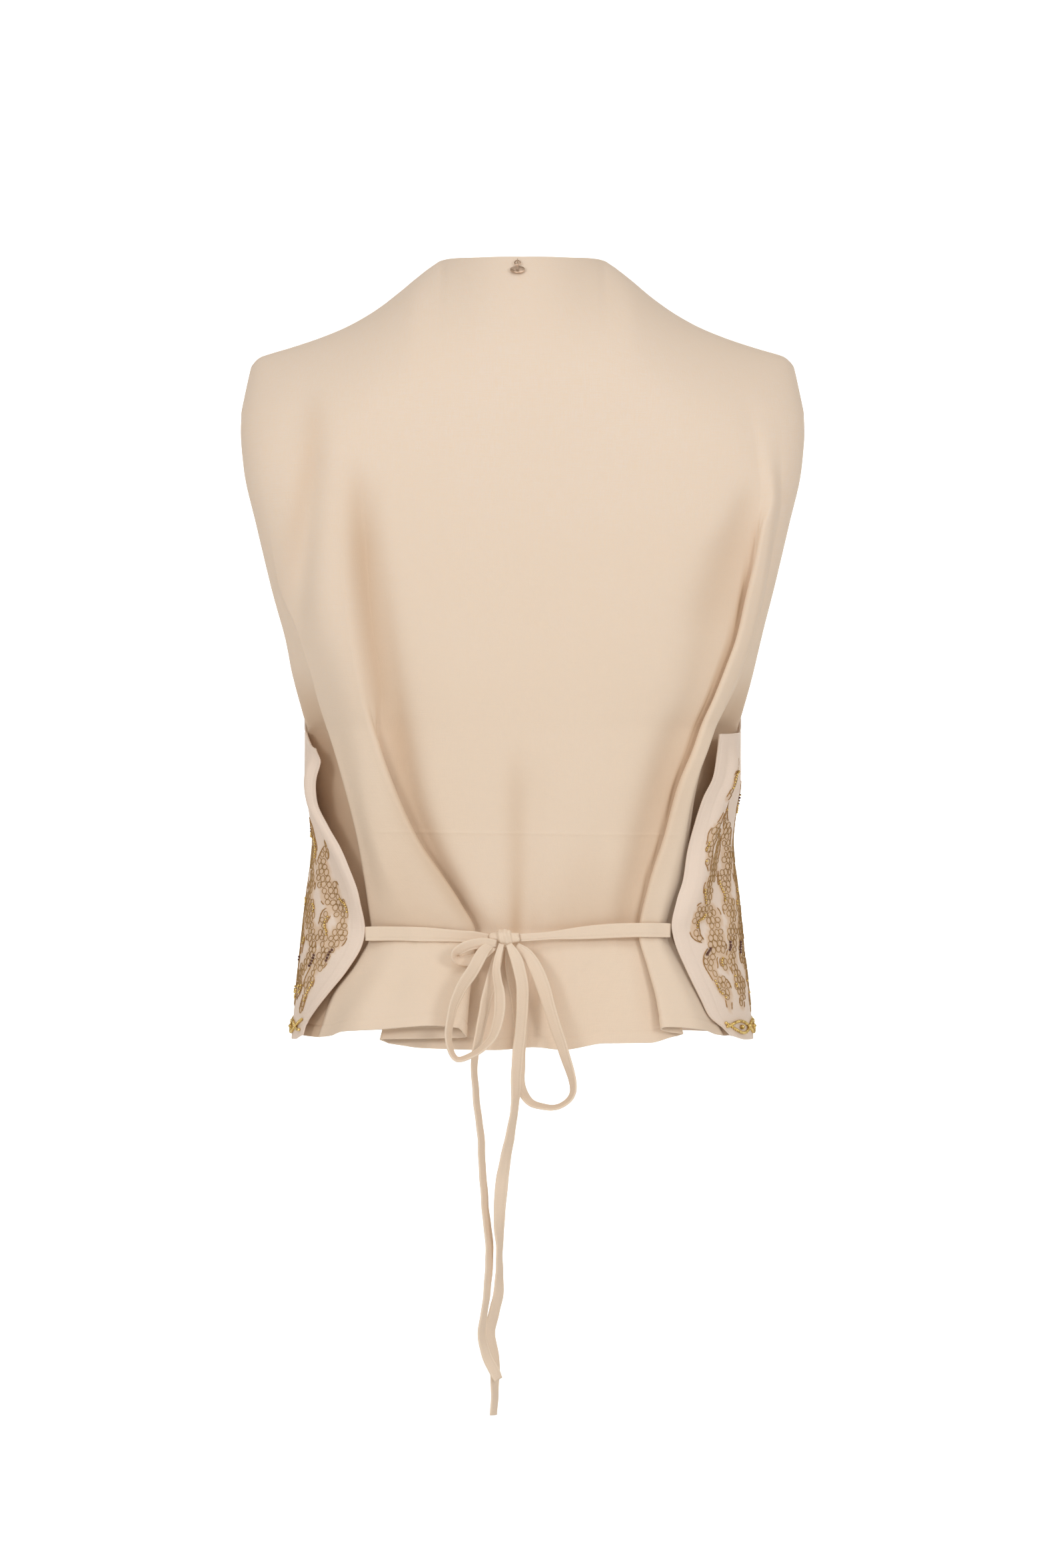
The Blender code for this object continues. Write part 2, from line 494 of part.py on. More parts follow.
def waist_route(side, detail):
    """The stretch of a tie from its flap to the knot, laid over the pleats."""
    flap = LEFT_FLAP if side < 0 else RIGHT_FLAP
    start_z, bow = (-430.5, 1.0) if side < 0 else (-428.0, 1.6)
    half, back = row_at(BODY, start_z, "half_width", "back")
    edge = float(np.min(along(flap, "edge_x", start_z + np.array([-6.0, 0.0, 6.0])))) - 1.0
    start_y = -(back + float(along(flap, "lift", start_z))) * float(oval(edge / half))
    knot_x = KNOT["x"] + side * (KNOT["half"] + KNOT_GAP)
    rows = [(side * edge, start_y, start_z, 0, 10)]
    for stop in np.linspace(0.1, 0.87, 8):
        x = side * edge + (knot_x - side * edge) * stop
        z = start_z + (KNOT["z"] - start_z) * smooth(stop) + bow * math.sin(math.pi * stop)
        near = [(x + dx, z + dz) for dx in (-3.0, 0.0, 3.0) for dz in (-9.0, -4.0, 0.0, 4.0, 8.0)]
        clear = max(-back_face(*place, detail) for place in near)
        rows.append((x, -clear - TIE_WALL / 2 - TIE_CLEAR, z, 0, 10 if stop < 0.8 else 8))
    rows.append((knot_x, KNOT["y"] + 0.5, KNOT["z"], 0, 5.5))
    return rows


def knot(finish, collection):
    """The knot of the bow: a turned body across the back, with a fuller band round its middle."""
    profile = [
        (-KNOT["half"], 0.0), (-KNOT["half"], KNOT["end"] * 0.8), (-KNOT["half"] + 0.8, KNOT["end"]),
        (-KNOT["band"], KNOT["end"] + 0.8), (-KNOT["band"] + 0.6, KNOT["middle"] - 0.5),
        (-KNOT["band"] + 2.0, KNOT["middle"]), (KNOT["band"] - 2.0, KNOT["middle"]),
        (KNOT["band"] - 0.6, KNOT["middle"] - 0.5), (KNOT["band"], KNOT["end"] + 0.8),
        (KNOT["half"] - 0.8, KNOT["end"]), (KNOT["half"], KNOT["end"] * 0.8), (KNOT["half"], 0.0),
    ]
    mesh = bmesh.new()
    points = [mesh.verts.new((x * MM, 0.0, r * MM)) for x, r in profile]
    for a, b in zip(points, points[1:]):
        mesh.edges.new((a, b))
    data = bpy.data.meshes.new("tie_knot")
    mesh.to_mesh(data)
    mesh.free()
    made = link("tie_knot", data, finish, collection)
    made.location = [KNOT[k] * MM for k in "xyz"]
    turn = made.modifiers.new("Turn", "SCREW")
    turn.axis = "X"
    turn.steps = turn.render_steps = 16
    turn.use_merge_vertices = True
    turn.merge_threshold = 0.0001
    turn.use_normal_calculate = True
    return made


def charm_frame():
    """Where the charm lies: a point on the neck edge, the way down the slope and the way out of it."""
    top = np.array([CHARM_X, -float(neck_depth(CHARM_X)), float(crest_z(CHARM_X))])
    drop = rounding(top[2] - CHARM_SLOPE_Z, CHARM_X)
    depth = float(along(BACK, "depth", CHARM_SLOPE_Z))
    low = np.array([CHARM_X, top[1] - (depth + top[1]) * float(drop), CHARM_SLOPE_Z])
    down = (low - top) / np.linalg.norm(low - top)
    return top, down, np.cross(down, (1.0, 0.0, 0.0))


def wire(name, points, radius, cyclic, finish, collection):
    """A thread or wire of round section along a line of points."""
    data = bpy.data.curves.new(name, "CURVE")
    data.dimensions = "3D"
    data.bevel_depth = radius * MM
    data.bevel_resolution = 1
    data.use_fill_caps = True
    line = data.splines.new("POLY")
    line.points.add(len(points) - 1)
    for point, place in zip(line.points, points):
        point.co = (*(np.array(place) * MM), 1.0)
    line.use_cyclic_u = cyclic
    return link(name, data, finish, collection)


def charm(brass, thread, collection):
    """A plain oval medallion on a jump ring, held at the back neck by a loop of thread."""
    top, down, out = charm_frame()
    hold = top + down * CHARM_DROP + out * CHARM_HEIGHT
    centre = hold + down * RING_RADIUS
    pin = hold + down * 2 * RING_RADIUS
    foot = WALL / 2 + 0.3 - CHARM_HEIGHT
    arch = [hold - down * STITCH_RADIUS + out * foot]
    for turn in np.linspace(0, math.pi, 9):
        arch.append(hold - down * STITCH_RADIUS * math.cos(turn) + out * STITCH_RADIUS * math.sin(turn))
    arch.append(hold + down * STITCH_RADIUS + out * foot)
    wire("charm_thread_loop", arch, STITCH_THREAD, False, thread, collection)
    side = np.array([1.0, 0.0, 0.0])
    turns = np.linspace(0, 2 * math.pi, 24, endpoint=False)
    ring = [centre + RING_RADIUS * (side * math.cos(t) + down * math.sin(t)) for t in turns]
    wire("charm_ring", ring, RING_WIRE, True, brass, collection)

    half_width, half_height, thickness = MEDALLION_SIZE
    middle = pin + down * (STITCH_RADIUS + half_height - 0.2)
    mesh = bmesh.new()
    bmesh.ops.create_cone(mesh, cap_ends=True, segments=28, radius1=1.0, radius2=1.0, depth=1.0)
    for vert in mesh.verts:
        local = side * vert.co.x * half_width + down * vert.co.y * half_height + out * vert.co.z * thickness
        vert.co = Vector((middle + local) * MM)
    bmesh.ops.recalc_face_normals(mesh, faces=mesh.faces[:])
    data = bpy.data.meshes.new("charm_medallion")
    mesh.to_mesh(data)
    mesh.free()
    medallion = link("charm_medallion", data, brass, collection)
    eye_turns = np.linspace(0, 2 * math.pi, 16, endpoint=False)
    eye = [pin + STITCH_RADIUS * (out * math.cos(t) + down * math.sin(t)) for t in eye_turns]
    eye_wire = wire("medallion_eye", eye, STITCH_THREAD, True, brass, collection)
    eye_mesh = bpy.data.meshes.new_from_object(eye_wire.evaluated_get(bpy.context.evaluated_depsgraph_get()))
    bpy.data.objects.remove(eye_wire)
    eye_tool = bpy.data.objects.new("medallion_eye_tool", eye_mesh)
    tools = bpy.data.collections.new("tools")
    bpy.context.scene.collection.children.link(tools)
    tools.objects.link(eye_tool)
    eye_tool.hide_render = True
    eye_tool.display_type = "WIRE"
    joined = medallion.modifiers.new("Eye", "BOOLEAN")
    joined.operation = "UNION"
    joined.object = eye_tool


def main():
    for found in list(bpy.data.objects):
        bpy.data.objects.remove(found)
    garment = bpy.data.collections.new("waistcoat")
    bpy.context.scene.collection.children.link(garment)
    crepe = material("cream_crepe", (0.80, 0.68, 0.55), 0.75)
    embroidered = material("embroidered_crepe", (0.79, 0.68, 0.58), 0.7)
    brass = material("antique_brass", (0.45, 0.30, 0.20), 0.35, 1.0)
    thread = material("cotton_thread", (0.62, 0.48, 0.36), 0.8)
    cloth_wall("back", back_grid(DETAIL), WALL, crepe, garment)
    cloth_wall("front_left", front_grid(-1, DETAIL), WALL, embroidered, garment)
    cloth_wall("front_right", front_grid(1, DETAIL), WALL, embroidered, garment, flip=True)
    ties = {
        "tie_left_waist": waist_route(-1, DETAIL), "tie_right_waist": waist_route(1, DETAIL),
        "tie_left_loop": LEFT_LOOP_ROUTE, "tie_right_loop": RIGHT_LOOP_ROUTE,
        "tie_left_end": LEFT_END_ROUTE, "tie_right_end": RIGHT_END_ROUTE,
    }
    for name, route in ties.items():
        cloth_wall(name, tie_grid(route, 9.0), TIE_WALL, crepe, garment)
    knot(crepe, garment)
    charm(brass, thread, garment)


main()
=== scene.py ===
# %% [markdown]
# # A cream waistcoat with embroidered fronts, worn and tied at the back
#
# The garment is seen from behind, hollow, as if a wearer had just stepped out of it. Its plain back is
# pleated under a bow, and the two embroidered fronts wrap round the sides into flaps. The solids of the
# frame already hold every panel in its place. This script dresses them: finer cloth, ties, a knot, thread
# and beads.

# %% Load the fixed frame
import math

import bpy
import numpy as np
from mathutils import Matrix, Vector


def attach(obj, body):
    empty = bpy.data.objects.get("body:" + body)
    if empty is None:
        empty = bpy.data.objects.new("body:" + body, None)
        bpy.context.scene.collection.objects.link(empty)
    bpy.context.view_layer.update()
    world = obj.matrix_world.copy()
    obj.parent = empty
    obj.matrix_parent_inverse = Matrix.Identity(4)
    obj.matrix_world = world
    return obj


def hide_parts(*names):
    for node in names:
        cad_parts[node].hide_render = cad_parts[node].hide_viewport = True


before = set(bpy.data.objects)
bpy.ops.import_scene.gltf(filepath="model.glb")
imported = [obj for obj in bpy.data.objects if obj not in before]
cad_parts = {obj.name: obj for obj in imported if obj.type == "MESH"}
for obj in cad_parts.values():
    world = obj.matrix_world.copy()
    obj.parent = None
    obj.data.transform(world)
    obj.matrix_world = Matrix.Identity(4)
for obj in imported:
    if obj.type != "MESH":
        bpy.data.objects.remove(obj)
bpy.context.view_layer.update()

MM = 0.001

# %% [markdown]
# ## The camera
#
# A fashion photograph is taken from some metres away with a long lens, so that the shoulders and the hem
# keep their true sizes. The lens follows from the distance and from how much of the garment's plane fills
# the frame.

# %% Camera straight behind the garment
CAMERA_DISTANCE = 4.0
CAMERA_HEIGHT = -0.3245
FRAMED_HEIGHT = 1.12944
SENSOR = 36.0

camera_data = bpy.data.cameras.new("camera")
camera_data.sensor_fit = "VERTICAL"
camera_data.sensor_height = SENSOR
camera_data.lens = SENSOR * CAMERA_DISTANCE / FRAMED_HEIGHT
camera = bpy.data.objects.new("camera", camera_data)
camera.location = (0.0, -CAMERA_DISTANCE, CAMERA_HEIGHT)
camera.rotation_euler = (math.pi / 2, 0.0, 0.0)
bpy.context.scene.collection.objects.link(camera)
bpy.context.scene.camera = camera
print("lens", round(camera_data.lens, 1), "mm")

# %% [markdown]
# ## Small helpers
#
# Sizes are easiest to read in millimetres, so the shapes are worked out in them and turned into metres
# when a mesh is made. Tables have named columns. A curve through a table's rows must not overshoot them,
# or a straight side would swell between two rows, so the slopes are limited where the rows turn.

# %% Steps, tables and curves through them
def smooth(t):
    t = np.clip(t, 0.0, 1.0)
    return t * t * (3.0 - 2.0 * t)


def table(columns, rows):
    return {name: np.array([row[i] for row in rows], float) for i, name in enumerate(columns)}


def along(rows, column, at, key="z"):
    order = np.argsort(rows[key])
    x, y = rows[key][order], rows[column][order]
    step = np.diff(x)
    slope = np.diff(y) / step
    tangent = np.zeros(len(x))
    same = slope[:-1] * slope[1:] > 0
    tangent[1:-1][same] = 2.0 * slope[:-1][same] * slope[1:][same] / (slope[:-1] + slope[1:])[same]
    tangent[0], tangent[-1] = slope[0], slope[-1]
    at = np.clip(np.asarray(at, float), x[0], x[-1])
    i = np.clip(np.searchsorted(x, at) - 1, 0, len(step) - 1)
    t = (at - x[i]) / step[i]
    a = (1 + 2 * t) * (1 - t) ** 2 * y[i] + t * (1 - t) ** 2 * step[i] * tangent[i]
    b = t * t * (3 - 2 * t) * y[i + 1] - t * t * (1 - t) * step[i] * tangent[i + 1]
    return a + b


def row_at(rows, z, *columns):
    return [float(along(rows, column, z)) for column in columns]


def hump(x, middle, half):
    return np.exp(-(((x - middle) / half) ** 2))


def run_length(line):
    return np.concatenate([[0], np.linalg.norm(np.diff(line, axis=0), axis=1).cumsum()])


def points_at(at, length, line):
    return np.stack([np.interp(at, length, column) for column in line.T], axis=1)


def unit(vectors):
    return vectors / np.linalg.norm(vectors, axis=-1, keepdims=True)


# %% Meshes from rows of points
def grid_faces(rows, columns, closed_rows=False, closed_columns=False):
    r = np.arange(rows if closed_rows else rows - 1)[:, None]
    c = np.arange(columns if closed_columns else columns - 1)[None, :]
    below, beside = (r + 1) % rows, (c + 1) % columns
    corners = [r * columns + c, below * columns + c, below * columns + beside, r * columns + beside]
    return np.stack([corner + 0 * (r + c) for corner in corners], axis=-1).reshape(-1, 4)


def tube_faces(rows, columns):
    ends = [list(range(columns)), [(rows - 1) * columns + i for i in range(columns)][::-1]]
    return grid_faces(rows, columns, closed_columns=True).tolist() + ends


def make_piece(name, points, faces, finish, uv=None):
    data = bpy.data.meshes.new(name)
    data.from_pydata((np.asarray(points) * MM).tolist(), [], [list(map(int, face)) for face in faces])
    if uv is not None:
        corner = np.zeros(len(data.loops), np.int32)
        data.loops.foreach_get("vertex_index", corner)
        data.uv_layers.new(name="UVMap").data.foreach_set("uv", (uv[corner] * MM).astype(np.float32).ravel())
    data.validate()
    data.shade_smooth()
    piece = bpy.data.objects.new(name, data)
    piece.data.materials.append(finish)
    bpy.context.scene.collection.objects.link(piece)
    return piece


def deselect_all():
    for other in bpy.context.selected_objects:
        other.select_set(False)


def apply_modifiers(piece):
    deselect_all()
    bpy.context.view_layer.objects.active = piece
    piece.select_set(True)
    for name in [modifier.name for modifier in piece.modifiers]:
        bpy.ops.object.modifier_apply(modifier=name)
    piece.select_set(False)


# %% [markdown]
# ## Finishes
#
# The back is a plain viscose crepe. Its yarns are overtwisted, so the surface is pebbly, with faint slubs
# that run along the warp and the weft. The pattern is too fine for geometry, so it is bump, and it reads
# the piece's own UV map, which holds real sizes: the weave then keeps its scale and bends with the cloth.
# Each number that is the same all over is set on the shader's own socket.

# %% Node helpers
def new_finish(name, colour, roughness, **sockets):
    made = bpy.data.materials.new(name)
    made.use_nodes = True
    shader = made.node_tree.nodes["Principled BSDF"]
    shader.inputs["Base Color"].default_value = (*colour, 1.0)
    shader.inputs["Roughness"].default_value = roughness
    for socket, value in sockets.items():
        shader.inputs[socket.replace("_", " ")].default_value = value
    return made, made.node_tree, shader


def coordinates(tree):
    return tree.nodes.new("ShaderNodeTexCoord").outputs


def attribute(tree, name):
    made = tree.nodes.new("ShaderNodeAttribute")
    made.attribute_name = name
    return made.outputs["Fac"]


def plug(tree, socket, value):
    if isinstance(value, bpy.types.NodeSocket):
        tree.links.new(value, socket)
    else:
        socket.default_value = (*value, 1.0) if isinstance(value, tuple) else value


def noise(tree, coordinate, scale, stretch=(1.0, 1.0, 1.0), detail=2.0):
    mapping = tree.nodes.new("ShaderNodeMapping")
    mapping.inputs["Scale"].default_value = [scale * s for s in stretch]
    tree.links.new(coordinate, mapping.inputs["Vector"])
    made = tree.nodes.new("ShaderNodeTexNoise")
    made.inputs["Scale"].default_value = 1.0
    made.inputs["Detail"].default_value = detail
    tree.links.new(mapping.outputs["Vector"], made.inputs["Vector"])
    return made.outputs["Fac"]


def calculate(tree, operation, a, b):
    made = tree.nodes.new("ShaderNodeMath")
    made.operation = operation
    plug(tree, made.inputs[0], a)
    plug(tree, made.inputs[1], b)
    return made.outputs[0]


def mix_colours(tree, share, first, second):
    made = tree.nodes.new("ShaderNodeMix")
    made.data_type = "RGBA"
    tree.links.new(share, made.inputs["Factor"])
    plug(tree, made.inputs[6], first)
    plug(tree, made.inputs[7], second)
    return made.outputs[2]


def ramp(tree, value, low, high):
    made = tree.nodes.new("ShaderNodeMapRange")
    made.interpolation_type = "SMOOTHSTEP"
    made.inputs["From Min"].default_value = low
    made.inputs["From Max"].default_value = high
    tree.links.new(value, made.inputs["Value"])
    return made.outputs["Result"]


def bump(tree, shader, height, strength, distance=0.0002):
    made = tree.nodes.new("ShaderNodeBump")
    made.inputs["Strength"].default_value = strength
    made.inputs["Distance"].default_value = distance
    tree.links.new(height, made.inputs["Height"])
    tree.links.new(made.outputs["Normal"], shader.inputs["Normal"])


# %% Crepe, plain and under the embroidery
SLUBS_PER_METRE = 1500.0
SLUB_STRETCH = 0.06
GRAIN_PER_METRE = 1300.0
PATCHES_PER_METRE = 9.0
# Painted shade: the colour grows warmer and darker between these two heights, in metres; the cloth's own tone
# also varies in patches
SHADE_START_Z, SHADE_FULL_Z = -0.02, -0.36
HEIGHT_SHADE_SHARE, PATCH_SHARE = 0.7, 0.3
YARN_PALER = 1.035
# Painted shade: what is left of each colour where the cloth lies in a fold, and painted shadow deep under a
# lip
FOLD_SHADE_COLOUR = (0.80, 0.71, 0.62)
LIP_SHADOW_COLOUR = (0.34, 0.24, 0.16)
FOLD_SHADE_SHARE, STITCHED_SHARE = 0.8, 0.72


def crepe_finish(name, cool, warm, stitched=None):
    made, tree, shader = new_finish(
        name, cool, roughness=0.78, Sheen_Weight=0.05, Sheen_Roughness=0.5, Sheen_Tint=(1.0, 0.95, 0.88, 1.0),
        Subsurface_Weight=0.1, Subsurface_Radius=(0.0012, 0.0010, 0.0008), Subsurface_Scale=1.0,
    )
    where = coordinates(tree)
    warp = noise(tree, where["UV"], SLUBS_PER_METRE, (1.0, SLUB_STRETCH, 1.0))
    weft = noise(tree, where["UV"], SLUBS_PER_METRE, (SLUB_STRETCH, 1.0, 1.0))
    grain = noise(tree, where["UV"], GRAIN_PER_METRE)
    weave = calculate(tree, "ADD", calculate(tree, "ADD", warp, weft), grain)
    bump(tree, shader, weave, strength=0.35)
    height = tree.nodes.new("ShaderNodeSeparateXYZ")
    tree.links.new(where["Object"], height.inputs["Vector"])
    # Painted shade: warmer and darker towards the bottom of the garment
    lower = ramp(tree, height.outputs["Z"], SHADE_START_Z, SHADE_FULL_Z)
    patches = ramp(tree, noise(tree, where["Object"], PATCHES_PER_METRE, detail=1.5), 0.3, 0.7)
    tone = calculate(tree, "MULTIPLY", patches, PATCH_SHARE)
    tone = calculate(tree, "ADD", tone, calculate(tree, "MULTIPLY", lower, HEIGHT_SHADE_SHARE))
    colour = mix_colours(tree, tone, cool, warm)
    pale = tuple(min(1.0, c * YARN_PALER) for c in warm)
    colour = mix_colours(tree, ramp(tree, weave, 1.1, 1.9), colour, pale)
    # Painted shade in the folds and painted shadow under the lips, read from the back's stored shade
    shade_in_folds = attribute(tree, "shade_in_folds")
    fold_shade_mix = calculate(tree, "MULTIPLY", shade_in_folds, FOLD_SHADE_SHARE)
    lip_shadow_mix = calculate(tree, "SUBTRACT", shade_in_folds, 1.0)
    for share, left in ((fold_shade_mix, FOLD_SHADE_COLOUR), (lip_shadow_mix, LIP_SHADOW_COLOUR)):
        colour = mix_colours(tree, share, colour, tuple(c * part for c, part in zip(warm, left)))
    if stitched is not None:
        cover = calculate(tree, "MULTIPLY", attribute(tree, "stitched"), STITCHED_SHARE)
        colour = mix_colours(tree, cover, colour, stitched)
    tree.links.new(colour, shader.inputs["Base Color"])
    return made


cream_crepe = crepe_finish("cream_crepe", (0.86, 0.74, 0.635), (0.83, 0.685, 0.54))
embroidered_crepe = crepe_finish(
    "embroidered_crepe", (0.88, 0.755, 0.655), (0.86, 0.725, 0.62), stitched=(0.74, 0.53, 0.35),
)
print("crepe finishes:", cream_crepe.name, embroidered_crepe.name)

# %% [markdown]
# ## Thread, beads and metal
#
# Thread is matt and made of twisted strands, so its colour and its bump follow the same fine, drawn-out
# noise. Old brass is dark in its hollows and bright where it is rubbed. The small dark beads are glossy
# glass.

# %% Thread, beads and aged brass
STRANDS_PER_METRE, THREAD_TONES_PER_METRE, TARNISH_PER_METRE = 900.0, 28.0, 350.0


def thread_finish(name, dark, light):
    made, tree, shader = new_finish(name, light, roughness=0.5, Sheen_Weight=0.05, Sheen_Roughness=0.3)
    where = coordinates(tree)["Object"]
    strands = noise(tree, where, STRANDS_PER_METRE, (1.0, 1.0, 0.4))
    tone = ramp(tree, noise(tree, where, THREAD_TONES_PER_METRE), 0.3, 0.7)
    share = calculate(tree, "MULTIPLY", tone, strands)
    tree.links.new(mix_colours(tree, share, dark, light), shader.inputs["Base Color"])
    bump(tree, shader, strands, strength=0.5)
    return made


def metal_finish(name, tarnish, bright, roughness):
    made, tree, shader = new_finish(name, bright, roughness, Metallic=1.0)
    age = noise(tree, coordinates(tree)["Object"], TARNISH_PER_METRE)
    worn = mix_colours(tree, ramp(tree, age, 0.3, 0.6), tarnish, bright)
    tree.links.new(worn, shader.inputs["Base Color"])
    bump(tree, shader, age, strength=0.15)
    return made


tan_thread = thread_finish("tan_thread", (0.34, 0.175, 0.05), (0.52, 0.31, 0.11))
net_thread = thread_finish("net_thread", (0.40, 0.23, 0.08), (0.60, 0.39, 0.16))
charm_thread = thread_finish("charm_thread", (0.45, 0.32, 0.22), (0.66, 0.52, 0.38))
gold_beads = metal_finish("gold_beads", (0.50, 0.33, 0.10), (0.92, 0.70, 0.28), roughness=0.24)
aged_brass = metal_finish("aged_brass", (0.36, 0.25, 0.17), (0.76, 0.58, 0.45), roughness=0.3)
dark_beads, *_ = new_finish("dark_beads", (0.10, 0.022, 0.012), roughness=0.15, Coat_Weight=0.6)
print("thread and metal finishes made")

# %% [markdown]
# ## The ties
#
# Each tie is a bias-cut tube of the same crepe, 10 mm wide, turned inside out and pressed flat. It hangs
# in the air, so its route is a list of points: place, how far it has turned on its own length, and its
# width there. A flat tie can't bend in its own plane, so it stands on edge wherever it curves. The section
# is a flat loop with round edges and a shallow groove where the seam lies, and it is carried along the
# route.

# %% A smooth route and the frame of a flat tie along it
TIE_THICKNESS = 1.5
TIE_STEP = 1.3
# Across the tie from one edge to the other, as shares of half its width and of half its thickness
TIE_SECTION = table(("across", "up"), [
    (-1.0, 0.0), (-0.97, 0.62), (-0.88, 1.0), (-0.6, 0.92), (-0.2, 0.86), (0.2, 0.86), (0.5, 0.92),
    (0.62, 0.55), (0.74, 0.95), (0.88, 1.0), (0.97, 0.62), (1.0, 0.0),
])


def curve_through(points, step):
    p = np.array(points, float)
    p = np.vstack([2 * p[0] - p[1], p, 2 * p[-1] - p[-2]])
    fine = []
    for a, b, c, d in zip(p, p[1:], p[2:], p[3:]):
        for t in np.linspace(0, 1, 12, endpoint=False):
            bend = (2 * a - 5 * b + 4 * c - d) * t * t + (3 * b - a - 3 * c + d) * t ** 3
            fine.append(b + 0.5 * ((c - a) * t + bend))
    fine = np.array(fine + [p[-2]])
    length = run_length(fine[:, :3])
    return points_at(np.linspace(0, length[-1], max(3, round(length[-1] / step) + 1)), length, fine)


def tie_frame(line, upright=None):
    heading = unit(np.gradient(line[:, :3], axis=0))
    if upright is not None:
        side = unit(np.array(upright) - heading * (heading @ np.array(upright))[:, None])
        return heading, side
    across = unit(np.cross(heading, (0.0, 1.0, 0.0)))
    turn = np.radians(line[:, 3])[:, None]
    return heading, across * np.cos(turn) + np.cross(across, heading) * np.sin(turn)


def ribbon(name, route, finish, upright=None):
    line = curve_through(route, TIE_STEP)
    heading, side = tie_frame(line, upright)
    face = np.cross(side, heading)
    travelled = np.arange(len(line)) * TIE_STEP
    # A tube turned inside out is never quite even: its width and its plane waver a little
    half = line[:, 4] / 2 * (1 + 0.03 * np.sin(travelled / 17.0) + 0.015 * np.sin(travelled / 5.3))
    ripple = 0.16 * np.sin(travelled / 6.1 + 1.0) + 0.12 * np.sin(travelled / 2.9)
    over = np.stack([TIE_SECTION["across"], TIE_SECTION["up"]], axis=1)
    section = np.vstack([over, (over * (1, -1))[-2:0:-1]])
    centre = line[:, :3] + face * ripple[:, None]
    points = (
        centre[:, None] + side[:, None] * half[:, None, None] * section[None, :, :1]
        + face[:, None] * TIE_THICKNESS / 2 * section[None, :, 1:]
    )
    faces = [face[::-1] for face in tube_faces(len(line), len(section))]
    round_the_tie = np.broadcast_to(section[None, :, 0] * half[:, None], points.shape[:2])
    uv = np.stack([round_the_tie, np.broadcast_to(travelled[:, None], points.shape[:2])], axis=-1)
    piece = make_piece(name, points.reshape(-1, 3), faces, finish, uv.reshape(-1, 2))
    return piece, line[:, :3] * MM


# %% The four hanging stretches: two ends and two loops
LEFT_END_ROUTE = [
    (-15.1, -90.5, -439, 0, 5), (-19, -95, -451.9, 20, 8), (-23.9, -103, -470.2, 40, 9.5),
    (-30.1, -111, -498, 54, 10), (-33.2, -113, -515.4, 62, 10), (-33.8, -113.5, -526.1, 67, 10),
    (-32.2, -113.5, -545.5, 67, 10), (-29.2, -113, -571.8, 66, 10), (-27.8, -113, -598, 64, 10),
    (-26, -113.5, -621.4, 62, 10), (-23.6, -115, -642.7, 60, 10), (-23.4, -117, -663.9, 62, 10),
    (-26.3, -120, -690.9, 66, 10), (-28.4, -121.5, -707.4, 60, 10), (-25.7, -122, -721.9, 45, 9.5),
    (-20.2, -122, -733.4, 35, 9), (-16.6, -122, -740.6, 45, 8),
]
RIGHT_END_ROUTE = [
    (-9.6, -96, -437.1, 0, 4.5), (-3.9, -101.5, -448.8, 25, 9), (0, -105.5, -468.1, 34, 10),
    (-0.8, -109, -489.4, 36, 10), (-2.9, -112.5, -511.6, 36, 10), (-4.6, -114.5, -531.9, 44, 10),
    (-5.4, -116, -551.2, 60, 10), (-11, -117, -582.2, 46, 10), (-14.6, -117, -604.6, 25, 10),
    (-16.1, -116.5, -626.9, 35, 10), (-16.2, -114.5, -649.4, 66, 10), (-16.1, -113, -666.1, 62, 10),
    (-16.9, -112, -680.7, 48, 10), (-19.8, -111, -694.3, 42, 10), (-23, -110.5, -709.8, 40, 10),
    (-20, -110.5, -727.3, 40, 10), (-19.2, -111.5, -744.8, 58, 10), (-20.4, -112, -766.4, 62, 9),
]
LEFT_LOOP_ROUTE = [
    (-20.4, -95, -436.6, 0, 3.5), (-27.3, -102, -441.9, 12, 8), (-34.5, -111, -454.3, 30, 10),
    (-44.6, -119, -470.5, 42, 10), (-49.9, -123, -485.9, 56, 10), (-51.4, -124.5, -505, 66, 10),
    (-45.8, -125.5, -516.6, 74, 10), (-34, -126, -512.8, 72, 10), (-22.4, -125, -503.2, 62, 10),
    (-17, -122, -489.8, 48, 10), (-16, -117.5, -473.5, 40, 10), (-17.5, -111, -462.1, 42, 8),
    (-18.1, -104, -450.6, 25, 6), (-14.8, -95.8, -437, 0, 4),
]
RIGHT_LOOP_ROUTE = [
    (-4.1, -92.5, -438.3, 0, 5), (3.9, -95.5, -445.1, 0, 8), (11.7, -101, -459, -15, 10),
    (18.5, -107, -479.7, -30, 10), (24.8, -111, -499.5, -38, 10), (30.6, -112.5, -517.4, -46, 10),
    (35.2, -113, -532.5, -62, 10), (34, -113.5, -543.2, -72, 10), (26.4, -113.5, -549.8, -76, 10),
    (16.2, -111.5, -551, -74, 10), (5, -107, -547, -62, 10), (-1.8, -102.5, -535, -45, 10),
    (-2.4, -101, -515, -20, 10), (-1.5, -99, -492.7, 0, 10), (-4.4, -94, -471.5, 0, 9),
    (-8.8, -90.2, -452.1, 0, 7), (-9.6, -88.8, -439.1, 0, 5),
]
FREE_TIES = {
    "left_end_tie": ("tie_left_end", LEFT_END_ROUTE, "bare"),
    "right_end_tie": ("tie_right_end", RIGHT_END_ROUTE, "bare"),
    "left_loop_tie": ("tie_left_loop", LEFT_LOOP_ROUTE, "object"),
    "right_loop_tie": ("tie_right_loop", RIGHT_LOOP_ROUTE, "object"),
}
for name, (node, route, far_end) in FREE_TIES.items():
    piece, path = ribbon(name, route, cream_crepe)
    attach(piece, "garment")
    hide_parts(node)

# %% [markdown]
# ## The shape of the garment in plan
#
# At each height the body is a rounded outline, flatter than an ellipse at the front and back. The back's
# tables give the armhole edge, the side and the depth at the centre, row by row from the shoulder to the
# hem. A pleat is described by where its lip is, how much cloth is lapped under it and how far it steps
# down.

